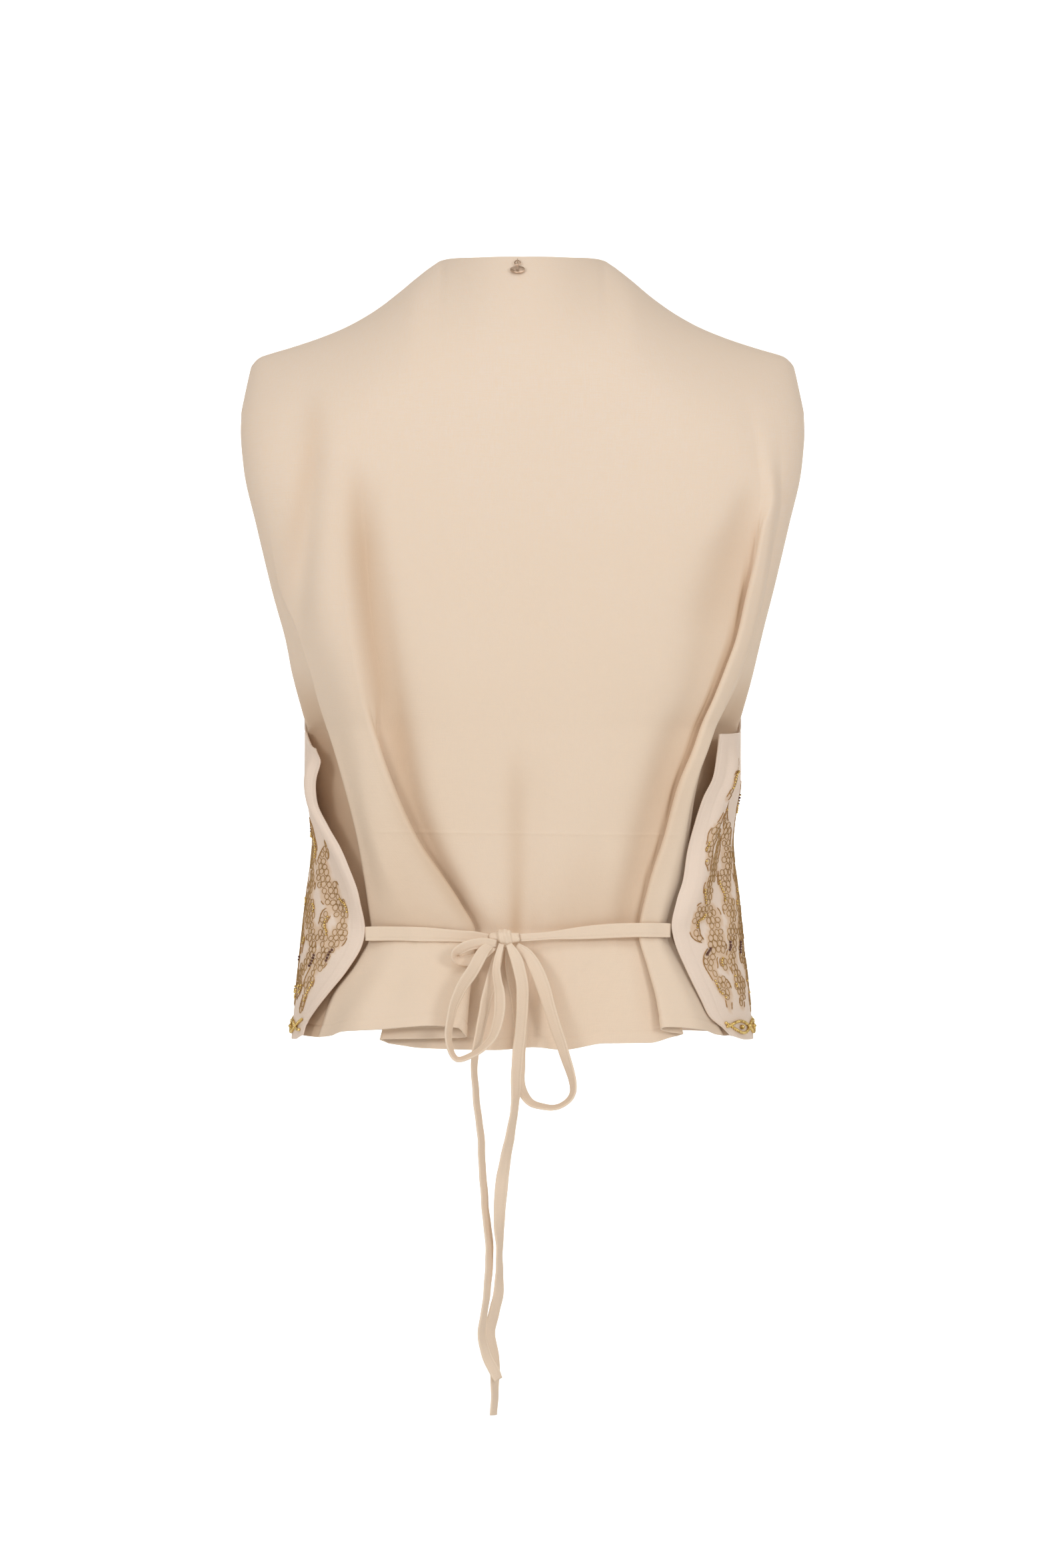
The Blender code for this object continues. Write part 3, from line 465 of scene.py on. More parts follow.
# %% Tables of the back
PLAN_POWER = 2.4
PLAN_STEPS = 400
SEAM_HALF = 0.35
NECK_HALF_WIDTH = 57.0
NECK_BACK = 57.0
SHOULDER_TIP_X = 195.0
SHOULDER_DROP = 95.0
NECK_ROLL_X = 40.0
TIP_ROUND, TIP_DROP = 8.0, 5.0
FAN_Z = -60.0
TIE_Z = -430.0
HEM_Z = -511.0
LAP_CLOSED = 6.0
CREST = table(("x", "z"), [
    (0, 49.6), (30, 50.4), (50, 52), (57, 52.4), (64, 48.6), (75, 40), (94, 24.2), (110, 13), (128, 3.2),
    (148, -4.8), (165, -10.4), (182, -15.4), (195, -19.4), (202, -21),
])
BACK = table(("z", "edge_x", "edge_y", "depth"), [
    (52, 192, 0, 92), (-22, 196.6, 20, 100), (-38, 200.6, 28, 102), (-70, 201, 40, 105),
    (-101, 198.2, 47, 107), (-140, 189.2, 51, 108), (-180, 179.7, 50, 107.5), (-218, 170.4, 42, 106),
    (-251, 163.2, 26, 104), (-275, 157.2, 8, 101.5), (-287, 154.2, 0, 100), (-322, 153.9, 0, 96),
    (-345, 150.2, 0, 93), (-366, 148.2, 0, 90), (-381, 149.4, 0, 88), (-405, 152.7, 0, 85),
    (-430, 155.6, 0, 83), (-450, 157.8, 0, 86), (-480, 160.9, 0, 93), (-511, 163.4, 0, 98),
])
LEFT_OUTER = table(("z", "lip", "lap", "depth", "spread"), [
    (-60, -184, 0, 0, 5), (-121, -181.5, 0, 0, 5), (-180, -174, 0, 1, 5), (-215, -163, 0, 3.5, 7),
    (-240, -153.5, 1, 7.5, 8), (-269, -145, 4, 10, 9), (-300, -135, 8, 12, 12), (-329, -126.5, 10, 12, 12),
    (-356, -119.5, 10, 11, 12), (-381, -114.5, 9, 10, 12), (-412, -110, 8, 8, 12),
    (-430, -108.5, 7, 7.2, 12), (-450, -118.5, 3, 7, 12), (-475, -135, 0, 6, 12), (-511, -146, 0, 5, 10),
])
LEFT_INNER = table(("z", "lip", "lap", "depth", "spread"), [
    (-60, -116, 0, 0, 26), (-100, -119, 0, 0.8, 24), (-130, -121, 0, 3, 20), (-180, -119, 0, 6, 17),
    (-221, -114.5, 0, 8, 15), (-240, -111, 0, 8.6, 14), (-271, -105, 2, 9, 13), (-300, -98, 6, 9, 12),
    (-334, -86, 16, 8.5, 22), (-365, -72, 24, 8, 22), (-387, -57.5, 30, 7.6, 22),
    (-409, -43.5, 34, 7.2, 22), (-430, -33.5, 38, 7, 22), (-450, -34.5, 46, 9, 22), (-480, -37, 57, 14, 22),
    (-511, -38.5, 62, 18, 22),
])
RIGHT_INNER = table(("z", "lip", "lap", "depth", "spread"), [
    (-60, 164.5, 0, 0, 9), (-90, 169.5, 0, 1.5, 9), (-121, 171.5, 0.5, 4.5, 8), (-144, 166, 3, 6, 7),
    (-167, 161.5, 4.5, 7, 8), (-192, 155.5, 5.5, 7.5, 8), (-221, 148.5, 6, 8, 8), (-242, 141, 6, 8, 8),
    (-265, 132, 6.5, 8, 8), (-282, 124.5, 7, 8, 8), (-300, 118.5, 7, 8, 18), (-327, 108, 8, 8, 18),
    (-361, 99, 9, 7.6, 18), (-397, 88, 10, 7.2, 18), (-430, 82, 9, 6.6, 18), (-454, 87, 11, 8.5, 18),
    (-480, 92, 15, 10, 18), (-511, 95, 18, 12, 18),
])
RIGHT_OUTER = table(("z", "lip", "lap", "depth", "spread"), [
    (-60, 185, 0, 0, 5), (-121, 184.5, 0, 0, 4), (-167, 176.5, 0, 0, 4), (-192, 172, 0, 0, 4),
    (-221, 164, 0, 1.5, 5), (-245, 157, 0, 4, 8), (-258, 151.5, 1, 6, 8), (-269, 146, 2, 8, 9),
    (-287, 137, 4, 9, 9), (-300, 132.5, 6, 10, 10), (-316, 127, 6, 10, 10), (-340, 122, 6, 9.5, 10),
    (-365, 119, 6, 9, 10), (-392, 115, 6, 8, 10), (-430, 107, 6, 7, 10), (-450, 115.5, 3, 7, 10),
    (-475, 128, 0, 6, 10), (-511, 143, 0, 5, 10),
])
PLEATS = ((LEFT_OUTER, -1), (LEFT_INNER, 1), (RIGHT_INNER, -1), (RIGHT_OUTER, 1))
# Troughs beside the inner pleats: the cloth under a lip sinks, and rises again slowly
# The same troughs also darken the colour of the back as painted shade
LEFT_TROUGH = table(("z", "middle", "half", "strength"), [
    (52, -118, 8, 0), (-85, -118, 8, 0), (-130, -115, 10, 0.6), (-163, -111.5, 12, 0.95), (-195, -107, 13, 1),
    (-243, -99, 13, 1), (-291, -89, 12, 1), (-339, -78, 11, 0.95), (-372, -64, 10, 0.9), (-407, -45, 9, 0.8),
    (-428, -34, 7, 0.4), (-440, -34, 7, 0), (-513, -34, 7, 0),
])
RIGHT_TROUGH = table(("z", "middle", "half", "strength"), [
    (52, 160, 8, 0), (-105, 160, 8, 0), (-135, 156, 11, 0.5), (-165, 147, 17, 0.75), (-195, 138, 18, 0.7),
    (-230, 129, 14, 0.4), (-262, 121, 11, 0.35), (-290, 110, 13, 0.6), (-330, 98, 14, 0.8),
    (-380, 84, 13, 0.8), (-425, 74, 11, 0.5), (-440, 74, 10, 0), (-513, 74, 10, 0),
])
TROUGH_DEPTH = 7.0
SOFT_FOLDS = table(("z_top", "x_top", "z_low", "x_low", "half_width", "depth"), [
    (-50, -143, -220, -160, 10, 4.6), (-300, 10, -432, -4, 12, 4.0), (-434, 4, -513, 8, 8, 3.5),
    (-436, -20, -513, -24, 7, 2.5), (-440, -84, -513, -92, 14, 2.5), (-440, 46, -513, 52, 15, 3.0),
])
HEM = table(("place", "z"), [
    (0, -504.5), (1, -504.8), (2, -504), (2.12, -502.8), (2.26, -499), (2.5, -497), (2.85, -493.8),
    (3, -495.4), (3.15, -500.8), (3.85, -505.2), (4, -507.5), (4.12, -510.4), (4.37, -511.6), (4.5, -509.6),
    (4.6, -511.4), (4.75, -507), (4.9, -507), (5, -502.6), (5.5, -499.5), (6, -495.4), (6.55, -498),
    (7, -502.6), (8, -503.6),
])


# %% The outline in plan, the pleats and the soft troughs
def oval(share):
    return (1.0 - np.clip(np.abs(share), 0, 1) ** PLAN_POWER) ** (1.0 / PLAN_POWER)


def crest_z(x):
    return along(CREST, "z", np.abs(x), "x")


def shoulder_z(x):
    return crest_z(x) - TIP_DROP * np.clip((np.abs(x) - SHOULDER_TIP_X + TIP_ROUND) / TIP_ROUND, 0, 1) ** 2


def rounding(drop, x):
    rise = 1.0 - (1.0 - np.clip(drop / SHOULDER_DROP, 0, 1)) ** 2
    nearness = smooth((np.abs(x) - NECK_ROLL_X) / NECK_ROLL_X)
    return rise ** (1.0 - 0.5 * nearness)


def neck_depth(x):
    return NECK_BACK * np.clip(1 - (x / NECK_HALF_WIDTH) ** 2, 0, 1) ** 0.8 + SEAM_HALF


def plan_curve(half_width, side_depth, depth):
    turn = np.linspace(-math.pi / 2, math.pi / 2, PLAN_STEPS + 1)
    x = half_width * np.sign(turn) * np.abs(np.sin(turn)) ** (2.0 / PLAN_POWER)
    y = side_depth + (depth - side_depth) * np.cos(turn) ** (2.0 / PLAN_POWER)
    length = np.concatenate([[0], np.cumsum(np.hypot(np.diff(x), np.diff(y)))])
    return x, y, length


def on_curve(curve, at, out):
    x, y, length = curve
    across = np.interp(at, length, np.gradient(x, length))
    away = np.interp(at, length, np.gradient(y, length))
    size = np.hypot(across, away)
    return np.interp(at, length, x) - out * away / size, np.interp(at, length, y) + out * across / size


def soft_folds(x, z):
    total = np.zeros(np.broadcast(x, z).shape)
    for top, x_top, low, x_low, half_width, depth in zip(*SOFT_FOLDS.values()):
        share = (top - z) / (top - low)
        middle = x_top + (x_low - x_top) * share
        ends = smooth(share / 0.35) * smooth((1.15 - share) / 0.3)
        total += depth * ends * hump(x, middle, half_width)
    return total


def band(rows, x, z):
    return along(rows, "strength", z) * hump(x, along(rows, "middle", z), along(rows, "half", z))


def pleat(rows, toward, z, detail, curve):
    lip, lap, depth, spread = row_at(rows, z, "lip", "lap", "depth", "spread")
    radius = depth / 4.0
    under = max(lap, 2.0 * radius + 1.0)
    turn = np.linspace(0, math.pi, detail["arcs"] + 1)
    flat = np.linspace(-radius, -under + radius, detail["flats"] + 2)[1:-1]
    beyond = np.concatenate([
        -radius + radius * np.sin(turn), flat, -under + radius - radius * np.sin(turn),
    ])
    down = np.concatenate([
        radius - radius * np.cos(turn), np.full(len(flat), 2.0 * radius),
        3.0 * radius - radius * np.cos(turn),
    ])
    run = np.linspace(0, 1, len(beyond))
    closed = float(smooth(lap / LAP_CLOSED))
    beyond = closed * beyond + (1 - closed) * spread * (run - 0.4)
    down = closed * down + (1 - closed) * depth * smooth(run)
    x, _, length = curve
    return np.interp(lip, x, length) + toward * beyond, down, depth, closed * under


# %% [markdown]
# ## Creases of the back
#
# Crepe is limp, so besides the pleats it shows wide, low troughs and, where the tie draws it in, short
# upright tucks that die out within a few centimetres. They are written in their own sizes. All layers of
# a pleat lie on each other, so a crease moves them outwards or inwards together.

# %% Relief of the back
CREASES = table(("x_top", "z_top", "x_low", "z_low", "half_width", "height"), [
    (-62, 30, -96, -150, 26, -0.9), (70, 20, 96, -170, 30, -0.8), (-20, -40, -34, -250, 34, 0.7),
    (40, -120, 30, -330, 30, -0.7), (-66, -180, -40, -330, 17, 0.8), (104, -210, 76, -345, 13, 0.9),
    (-150, -20, -172, -118, 10, -1.0), (152, -30, 178, -126, 9, -0.9), (-132, -120, -140, -250, 9, 0.8),
    (60, -330, 54, -432, 10, -1.0), (-3, -250, -10, -430, 20, -0.8), (34, -372, 22, -434, 6, 0.7),
    (-86, -330, -74, -428, 12, -0.9), (-100, -300, -94, -420, 7, 0.7), (-26, -396, -19, -432, 4.5, 0.6),
    (74, -440, 79, -500, 5, 0.7), (-70, -438, -76, -498, 9, 0.8), (-104, -446, -120, -500, 8, -0.8),
    (30, -438, 36, -505, 7, 0.7), (60, -442, 68, -508, 8, -0.8), (-2, -438, -6, -508, 5, 0.8),
])
TUCKS = table(("x", "half_width", "reach", "height"), [
    (-98, 3.2, 16, 0.5), (-84, 2.4, 22, -0.6), (-71, 3.0, 14, 0.5), (-55, 2.6, 20, -0.5), (-40, 2.2, 15, 0.5),
    (6, 2.6, 24, -0.6), (15, 2.2, 18, 0.5), (27, 3.0, 26, -0.6), (41, 2.6, 16, 0.5), (52, 3.4, 22, -0.5),
    (66, 2.4, 15, 0.5), (92, 2.6, 18, -0.5),
])
# One sharp line pressed across the waist, which slants a little, and the depth that the tie draws the
# cloth in by
WAIST_CREASE_Z, WAIST_CREASE_SLANT, WAIST_CREASE_HEIGHT = -358.0, 0.012, 0.34
DRAWN_IN, DRAWN_REACH = 3.2, 17.0


def line_fold(x, z, x_top, z_top, x_low, z_low, half_width, height):
    share = (z_top - z) / (z_top - z_low)
    middle = x_top + (x_low - x_top) * np.clip(share, 0, 1)
    ends = smooth(share / 0.4) * smooth((1 - share) / 0.4)
    return height * ends * hump(x, middle, half_width)


def unevenness(x, z, size=0.45):
    # Slow waves in three directions: soft cloth never lies quite flat
    slow = np.sin(x / 31.0 + z / 67.0) + np.sin(z / 43.0 - x / 58.0 + 1.7) + np.sin(x / 19.0 - z / 88.0 + 0.6)
    return size * slow / 1.8


def back_relief(x, z):
    total = unevenness(x, z)
    for row in zip(*CREASES.values()):
        total = total + line_fold(x, z, *row)
    for place, half_width, reach, height in zip(*TUCKS.values()):
        total = total + height * hump(z, TIE_Z, reach) * hump(x, place, half_width)
    total = total - DRAWN_IN * np.exp(-np.abs(z - TIE_Z) / DRAWN_REACH)
    crease_z = WAIST_CREASE_Z - WAIST_CREASE_SLANT * (x + 100.0)
    inside = smooth((x + 106.0) / 12.0) * smooth((113.0 - x) / 12.0)
    return total + WAIST_CREASE_HEIGHT * inside * hump(z, crease_z, 0.9)


# %% One row of the back, and all its rows
def centre_shares(detail):
    curve = plan_curve(*row_at(BACK, FAN_Z, "edge_x", "edge_y", "depth"))
    start = pleat(LEFT_INNER, 1, FAN_Z, detail, curve)[0][-1]
    end = pleat(RIGHT_INNER, -1, FAN_Z, detail, curve)[0][-1]
    return (np.interp(detail["centre"], curve[0], curve[2]) - start) / (end - start)


def back_section(z, detail):
    curve = plan_curve(*row_at(BACK, z, "edge_x", "edge_y", "depth"))
    left_outer, left_inner, right_inner, right_outer = (
        pleat(rows, toward, z, detail, curve) for rows, toward in PLEATS
    )
    strip = np.linspace(0, 1, detail["strip"] + 1)[:-1]
    left_shares, right_shares = np.array(detail["left_portion"]), np.array(detail["right_portion"])
    left_start, left_end = left_outer[0][0], left_inner[0][0]
    left = left_start + (left_end - left_start) * left_shares
    left_full = max(8.0, left_end - left_inner[3] - 3.0 - left_start)
    right_start, right_end = right_inner[0][0], right_outer[0][0]
    right = right_start + (right_end - right_start) * right_shares
    right_flat = right_start + right_inner[3]
    right_fall = (right - right_flat) / max(4.0, right_end - right_flat)
    centre_start, centre_end = left_inner[0][-1], right_inner[0][-1]
    centre = centre_start + (centre_end - centre_start) * centre_shares(detail)
    right_strip = right_outer[0][-1] + (curve[2][-1] - right_outer[0][-1]) * (1 - strip[::-1])
    at = np.concatenate([
        left_outer[0][-1] * strip, left_outer[0][::-1], left, left_inner[0], centre,
        right_inner[0][::-1], right, right_outer[0], right_strip,
    ])
    left_under = left_inner[1] / max(left_inner[2], 0.1)
    right_under = right_inner[1][::-1] / max(right_inner[2], 0.1)
    under = np.concatenate([
        np.zeros(len(strip) + len(left_outer[0]) + len(left)), left_under, np.ones(len(centre)),
        right_under, np.zeros(len(right) + len(right_outer[0]) + len(right_strip)),
    ])
    out = np.concatenate([
        -left_outer[2] * smooth(1.8 * strip), -left_outer[1][::-1],
        left_inner[2] * smooth((left - left_start) / left_full), left_inner[2] - left_inner[1],
        np.zeros(len(centre)), right_inner[2] - right_inner[1][::-1],
        right_inner[2] * (1 - smooth(right_fall)), -right_outer[1],
        -right_outer[2] * smooth(1.8 * strip[::-1]),
    ])
    middle = np.interp(at, curve[2], curve[0])
    sunk = TROUGH_DEPTH * (band(LEFT_TROUGH, middle, z) + band(RIGHT_TROUGH, middle, z))
    return on_curve(curve, at, out - soft_folds(middle, z) - under * sunk + back_relief(middle, z))


def column_places(detail):
    n = 2 * (detail["arcs"] + 1) + detail["flats"]
    strip = np.linspace(0, 1, detail["strip"] + 1)
    return np.concatenate([
        strip[:-1], np.linspace(1, 2, n), 2 + np.array(detail["left_portion"]), np.linspace(3, 4, n),
        4 + centre_shares(detail), np.linspace(5, 6, n), 6 + np.array(detail["right_portion"]),
        np.linspace(7, 8, n), np.full(detail["strip"], 8.0),
    ])


def hem_share(z):
    share = np.clip((TIE_Z - z) / (TIE_Z - HEM_Z), 0, 1)
    return share * smooth(share)


def back_grid(detail):
    hem = along(HEM, "z", column_places(detail), "place")
    first_x = back_section(FAN_Z, detail)[0]
    first_edge = float(along(BACK, "edge_x", FAN_Z))
    top_x = first_x * SHOULDER_TIP_X / first_edge
    top_z = shoulder_z(top_x)
    neck = neck_depth(top_x)
    rows = []
    for turn in np.linspace(0, math.pi / 2, detail["fan_rows"] + 1)[:-1]:
        fall = 1 - math.cos(turn)
        x = top_x + (first_x - top_x) * fall
        z = top_z + (FAN_Z - top_z) * fall
        edge_y = along(BACK, "edge_y", z)
        wide = edge_y + (along(BACK, "depth", z) - edge_y) * oval(first_x / first_edge)
        rows.append((x, -(neck + (wide + back_relief(x, z) - neck) * rounding(top_z - z, x)), z))
    for level in detail["levels"]:
        x, depth = back_section(level, detail)
        y = -(neck + (depth - neck) * rounding(crest_z(x) - level, x))
        rows.append((x, y, level + (hem - HEM_Z) * hem_share(level)))
    return np.array(rows).transpose(0, 2, 1)


# %% [markdown]
# ## The thin shell
#
# The open surface gets its thickness from Solidify, and Bevel rounds the cut edges. A hem is cloth turned
# up and sewn, so it is a little thicker and its stitching presses a line into it.

# %% The turned hem
WALL = 1.1
EDGE_ROUNDING = 0.32
HEM_TURN, HEM_RAISED, HEM_STITCH_DENT = 8.5, 0.28, 0.22


def turned_hem(z, hem_z):
    above = z - hem_z
    return HEM_RAISED * smooth((HEM_TURN - above) / 1.2) - HEM_STITCH_DENT * hump(above, HEM_TURN, 0.8)


# %% [markdown]
# ## Painted shade in the folds
#
# The shade of the folds is painted into the colour of the crepe. Each point of the back stores how deep
# it lies in a fold, and the finish reads it: painted shade in the troughs and folds, and a painted shadow
# line deep under the lip of a pleat. The painted shade is part of the surface, and stays the same from
# every side and in any light.

# %% Painted shade: how deep each place lies in a fold
FOLD_SHADE_BANDS = (
    table(("z", "middle", "half", "strength"), [
        (52, -100, 10, 0), (-330, -100, 10, 0), (-370, -92, 22, 0.2), (-405, -84, 32, 0.4),
        (-426, -78, 38, 0.6), (-434, -78, 38, 0), (-513, -78, 38, 0),
    ]),
    table(("z", "middle", "half", "strength"), [
        (52, 40, 12, 0), (-350, 40, 12, 0), (-395, 44, 28, 0.3), (-426, 42, 40, 0.55), (-434, 40, 40, 0),
        (-513, 40, 40, 0),
    ]),
    table(("z", "middle", "half", "strength"), [
        (52, -141, 7, 0), (-40, -143, 7, 0), (-70, -147, 9, 0.35), (-110, -152, 9, 0.5), (-150, -160, 9, 0.4),
        (-210, -166, 8, 0), (-513, -166, 8, 0),
    ]),
    table(("z", "middle", "half", "strength"), [
        (52, -3, 6, 0), (-285, -3, 6, 0), (-330, -5, 8, 0.35), (-380, -4, 7, 0.5), (-426, -5, 5, 0.9),
        (-450, -6, 8, 0.3), (-500, -8, 8, 0.1), (-513, -8, 8, 0),
    ]),
)
# Painted shadow lines under the inner lips: the pleat, the side it opens to, the distance from its lip, and
# the strength by height
LIP_SHADOW_LINES = (
    (LEFT_INNER, 1, 1.8, table(("z", "strength"), [
        (52, 0), (-230, 0), (-300, 0.08), (-350, 0.15), (-400, 0.2), (-428, 0.2), (-436, 0), (-513, 0),
    ])),
    (RIGHT_INNER, -1, 1.4, table(("z", "strength"), [
        (52, 0), (-128, 0), (-165, 0.4), (-200, 0.7), (-290, 0.8), (-340, 0.6), (-425, 0.4), (-436, 0),
        (-513, 0),
    ])),
)
LIP_SHADOW_HALF = 1.7
SHADED_BELOW_Z = -235.0


# Painted shade: the troughs and the bands darken the colour, and the lip lines add painted shadow
def painted_fold_shade(x, z):
    total = band(LEFT_TROUGH, x, z) + 0.8 * band(RIGHT_TROUGH, x, z)
    for rows in FOLD_SHADE_BANDS:
        total = total + band(rows, x, z)
    total = np.clip(total, 0, 1)
    for rows, toward, away, strengths in LIP_SHADOW_LINES:
        middle = along(rows, "lip", z) + toward * away
        line = along(strengths, "strength", z) * hump(x, middle, LIP_SHADOW_HALF)
        total = total + line * (2.0 - total)
    return total


# %% From rows of points to a cloth piece
def steps_along(grid, axis):
    blank = np.full_like(np.take(grid, [0], axis), np.nan)
    ahead = np.diff(grid, axis=axis, append=blank)
    behind = np.diff(grid, axis=axis, prepend=blank)
    step = np.where(np.isnan(ahead), behind, np.where(np.isnan(behind), ahead, (ahead + behind) / 2))
    return np.nan_to_num(step)


def normals_of(grid):
    return unit(np.cross(steps_along(grid, 0), steps_along(grid, 1)) + 1e-9)


def cloth_uv(grid):
    filled = np.nan_to_num(grid, nan=0.0)
    across = np.linalg.norm(np.diff(filled, axis=1, prepend=filled[:, :1]), axis=2).cumsum(axis=1)
    middle = filled.shape[1] // 3
    across = across - across[:, middle:middle + 1]
    down = np.linalg.norm(np.diff(filled, axis=0, prepend=filled[:1]), axis=2)[:, middle].cumsum()
    return np.stack([across, np.broadcast_to(-down[:, None], across.shape)], axis=-1)


def cloth_piece(name, grid, finish, flip=False, attributes=None):
    rows, columns = grid.shape[:2]
    real = ~np.isnan(grid[..., 0]).ravel()
    number = np.cumsum(real) - 1
    faces = grid_faces(rows, columns)
    faces = number[faces[real[faces].all(axis=1)]]
    if flip:
        faces = faces[:, ::-1]
    piece = make_piece(name, grid.reshape(-1, 3)[real], faces, finish, cloth_uv(grid).reshape(-1, 2)[real])
    for label, values in (attributes or {}).items():
        made = piece.data.attributes.new(label, "FLOAT", "POINT")
        made.data.foreach_set("value", values.ravel()[real].astype(np.float32))
    wall = piece.modifiers.new("Wall", "SOLIDIFY")
    wall.thickness = WALL * MM
    wall.offset = 0.0
    edge = piece.modifiers.new("Edge", "BEVEL")
    edge.width = EDGE_ROUNDING * WALL * MM
    edge.segments = 2
    edge.limit_method = "ANGLE"
    edge.angle_limit = math.radians(65.0)
    apply_modifiers(piece)
    piece.data.shade_smooth()
    return piece


def cut_area(piece):
    return round(sum(face.area for face in piece.data.polygons) / 2, 3)


# %% The back
def levels_with(start, stop, step, extra):
    even = np.arange(start, stop, -step)
    near = np.min(np.abs(even[:, None] - np.array(extra)[None, :]), axis=1)
    return sorted(set(np.round(np.concatenate([even[near > step / 3], extra, [stop]]), 3)), reverse=True)


CREASE_LEVELS = list(WAIST_CREASE_Z + np.arange(-5.6, 4.1, 0.8))
HEM_LEVELS = list(HEM_Z + np.array([0.9, 1.9, 3.2, 5.0, 6.6, 7.6, 8.4, 9.2, 10.2]))
BACK_DETAIL = {
    "arcs": 7, "flats": 4, "strip": 7, "fan_rows": 24,
    "left_portion": np.linspace(0, 1, 22)[1:-1], "right_portion": np.linspace(0, 1, 14)[1:-1],
    "centre": np.concatenate([
        np.linspace(-88, -58.8, 12), np.linspace(-58.8, 58.8, 44)[1:], np.linspace(58.8, 156, 34)[1:],
    ]),
    "levels": levels_with(FAN_Z, HEM_Z, 3.3, CREASE_LEVELS + HEM_LEVELS),
}
back_points = back_grid(BACK_DETAIL)
hem_line = back_points[-1, :, 2]
relief = turned_hem(back_points[..., 2], hem_line)
back_points = back_points + normals_of(back_points) * relief[..., None]
# Painted shade: the folds, the lips and the strips of the back under the flaps are stored for the finish to
# darken
tone = painted_fold_shade(back_points[..., 0], back_points[..., 2])
place = column_places(BACK_DETAIL)
shade_under_flaps = smooth((SHADED_BELOW_Z - back_points[..., 2]) / 45.0)
tone = np.maximum(tone, shade_under_flaps * np.maximum(smooth(2.2 - place), smooth(place - 6.8)))
back = cloth_piece("back_panel", back_points, cream_crepe, attributes={"shade_in_folds": tone})
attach(back, "garment")
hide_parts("back")
print("back:", len(back.data.polygons), "faces,", back_points.shape[:2], "rows and columns")

# %% [markdown]
# ## The fronts
#
# Each front is one panel from the centre front to its free edge on the back: it wraps round the side
# below the armhole and ends in a flap. The edge is faced, so a band about 11 mm wide along it is double,
# and it stands a little proud. Between the underarm and the tie, each flap has a long drag fold, where
# the tie pulls on it.

# %% Tables of the fronts
FRONT_NECK_Z = -95.0
FRONT_NECK_CURVE = 1.5
CENTRE_FRONT_X = 3.0
UNDERARM_Z = -287.0
FRONT_FAN_Z = -130.0
FRONT = table(("z", "edge_x", "edge_y", "depth"), [
    (52, 190, 0, 68), (-22, 195, 22, 78), (-60, 177, 40, 85), (-100, 164, 50, 96),
    (-140, 156.5, 52, 106), (-180, 153.5, 49, 114), (-220, 153.5, 41, 119), (-250, 155.5, 30, 119.5),
    (-268, 156.5, 19.5, 118), (-279, 157, 10, 116.5), (-287, 156.5, 0, 115),
])
BODY = table(("z", "half_width", "front", "back"), [
    (-275, 156.8, 117, 106), (-287, 156.5, 115, 104), (-322, 156.2, 108.5, 101), (-345, 152.6, 104, 98),
    (-366, 150.6, 101, 95), (-381, 151.8, 99, 93), (-405, 155.1, 97, 90), (-430, 158, 96, 88),
    (-450, 160.2, 97.5, 91), (-480, 163.3, 101, 98), (-511, 165.8, 105, 103),
])
LEFT_FLAP = table(("z", "edge_x", "lift"), [
    (-287, 147.5, 0), (-300, 143, 1), (-322, 143.5, 4), (-337, 141.5, 5), (-355, 133.5, 4),
    (-369, 126.5, 2), (-381, 121.5, 1), (-405, 113.5, 0), (-426, 111, 0), (-437, 113, 0), (-457, 124, 0),
    (-475, 137, 0), (-490, 147, 0), (-502, 153.5, 0), (-511, 156, 0),
])
RIGHT_FLAP = table(("z", "edge_x", "lift"), [
    (-287, 138.5, 1), (-303, 136, 2), (-320, 132.5, 3), (-334, 126.5, 2), (-351, 121.5, 1),
    (-373, 116, 0.5), (-392, 113, 0.5), (-407, 108, 1), (-424, 104.5, 1.5), (-435, 106.5, 1.5),
    (-455, 115, 0), (-480, 126, 0), (-495, 132.5, 0), (-504, 141.5, 0), (-511, 147.5, 0),
])
FRONT_HEM = table(("place", "z"), [
    (0, -505.5), (0.5, -505.5), (0.62, -505.6), (0.72, -507.4), (0.86, -506.8), (1, -503),
])
FRONT_PART, FLAP_PART = 0.62, 0.38
LEFT, RIGHT = -1, 1
# How far the top edge of a flap drops, and from which share of the flap's width over which share
FLAP_TOPS = {LEFT: (-12.0, 0.35, 0.65), RIGHT: (-2.0, 0.0, 1.0)}
FLAPS = {LEFT: LEFT_FLAP, RIGHT: RIGHT_FLAP}
# The drag fold of a flap: its ridge and the hollow inside it, in shares of the flap's width, and their
# heights
RIDGE_SHARE, RIDGE_DRIFT, RIDGE_HALF, RIDGE_HEIGHT = 0.74, 0.3, 0.11, 4.0
RIDGE_INWARD = {LEFT: 0.0, RIGHT: 0.12}
HOLLOW_INWARD, HOLLOW_HALF, HOLLOW_DEPTH = 0.27, 0.12, 3.4


# %% Rows of points of one front
def front_depth(x, share, z):
    edge_y, depth = along(FRONT, "edge_y", z), along(FRONT, "depth", z)
    wide = edge_y + (depth - edge_y) * oval(share)
    return SEAM_HALF + (wide - SEAM_HALF) * rounding(crest_z(x) - z, x)


def drag_fold(share, z, side):
    between = smooth((UNDERARM_Z - z) / 25.0) * smooth((z - TIE_Z + 6.0) / 30.0)
    fall = np.clip((UNDERARM_Z - z) / (UNDERARM_Z - TIE_Z), 0, 1)
    ridge = RIDGE_SHARE + RIDGE_DRIFT * fall - RIDGE_INWARD[side]
    stands = RIDGE_HEIGHT * hump(share, ridge, RIDGE_HALF)
    hollow = HOLLOW_DEPTH * hump(share - ridge, -HOLLOW_INWARD, HOLLOW_HALF)
    return between * (stands - hollow)


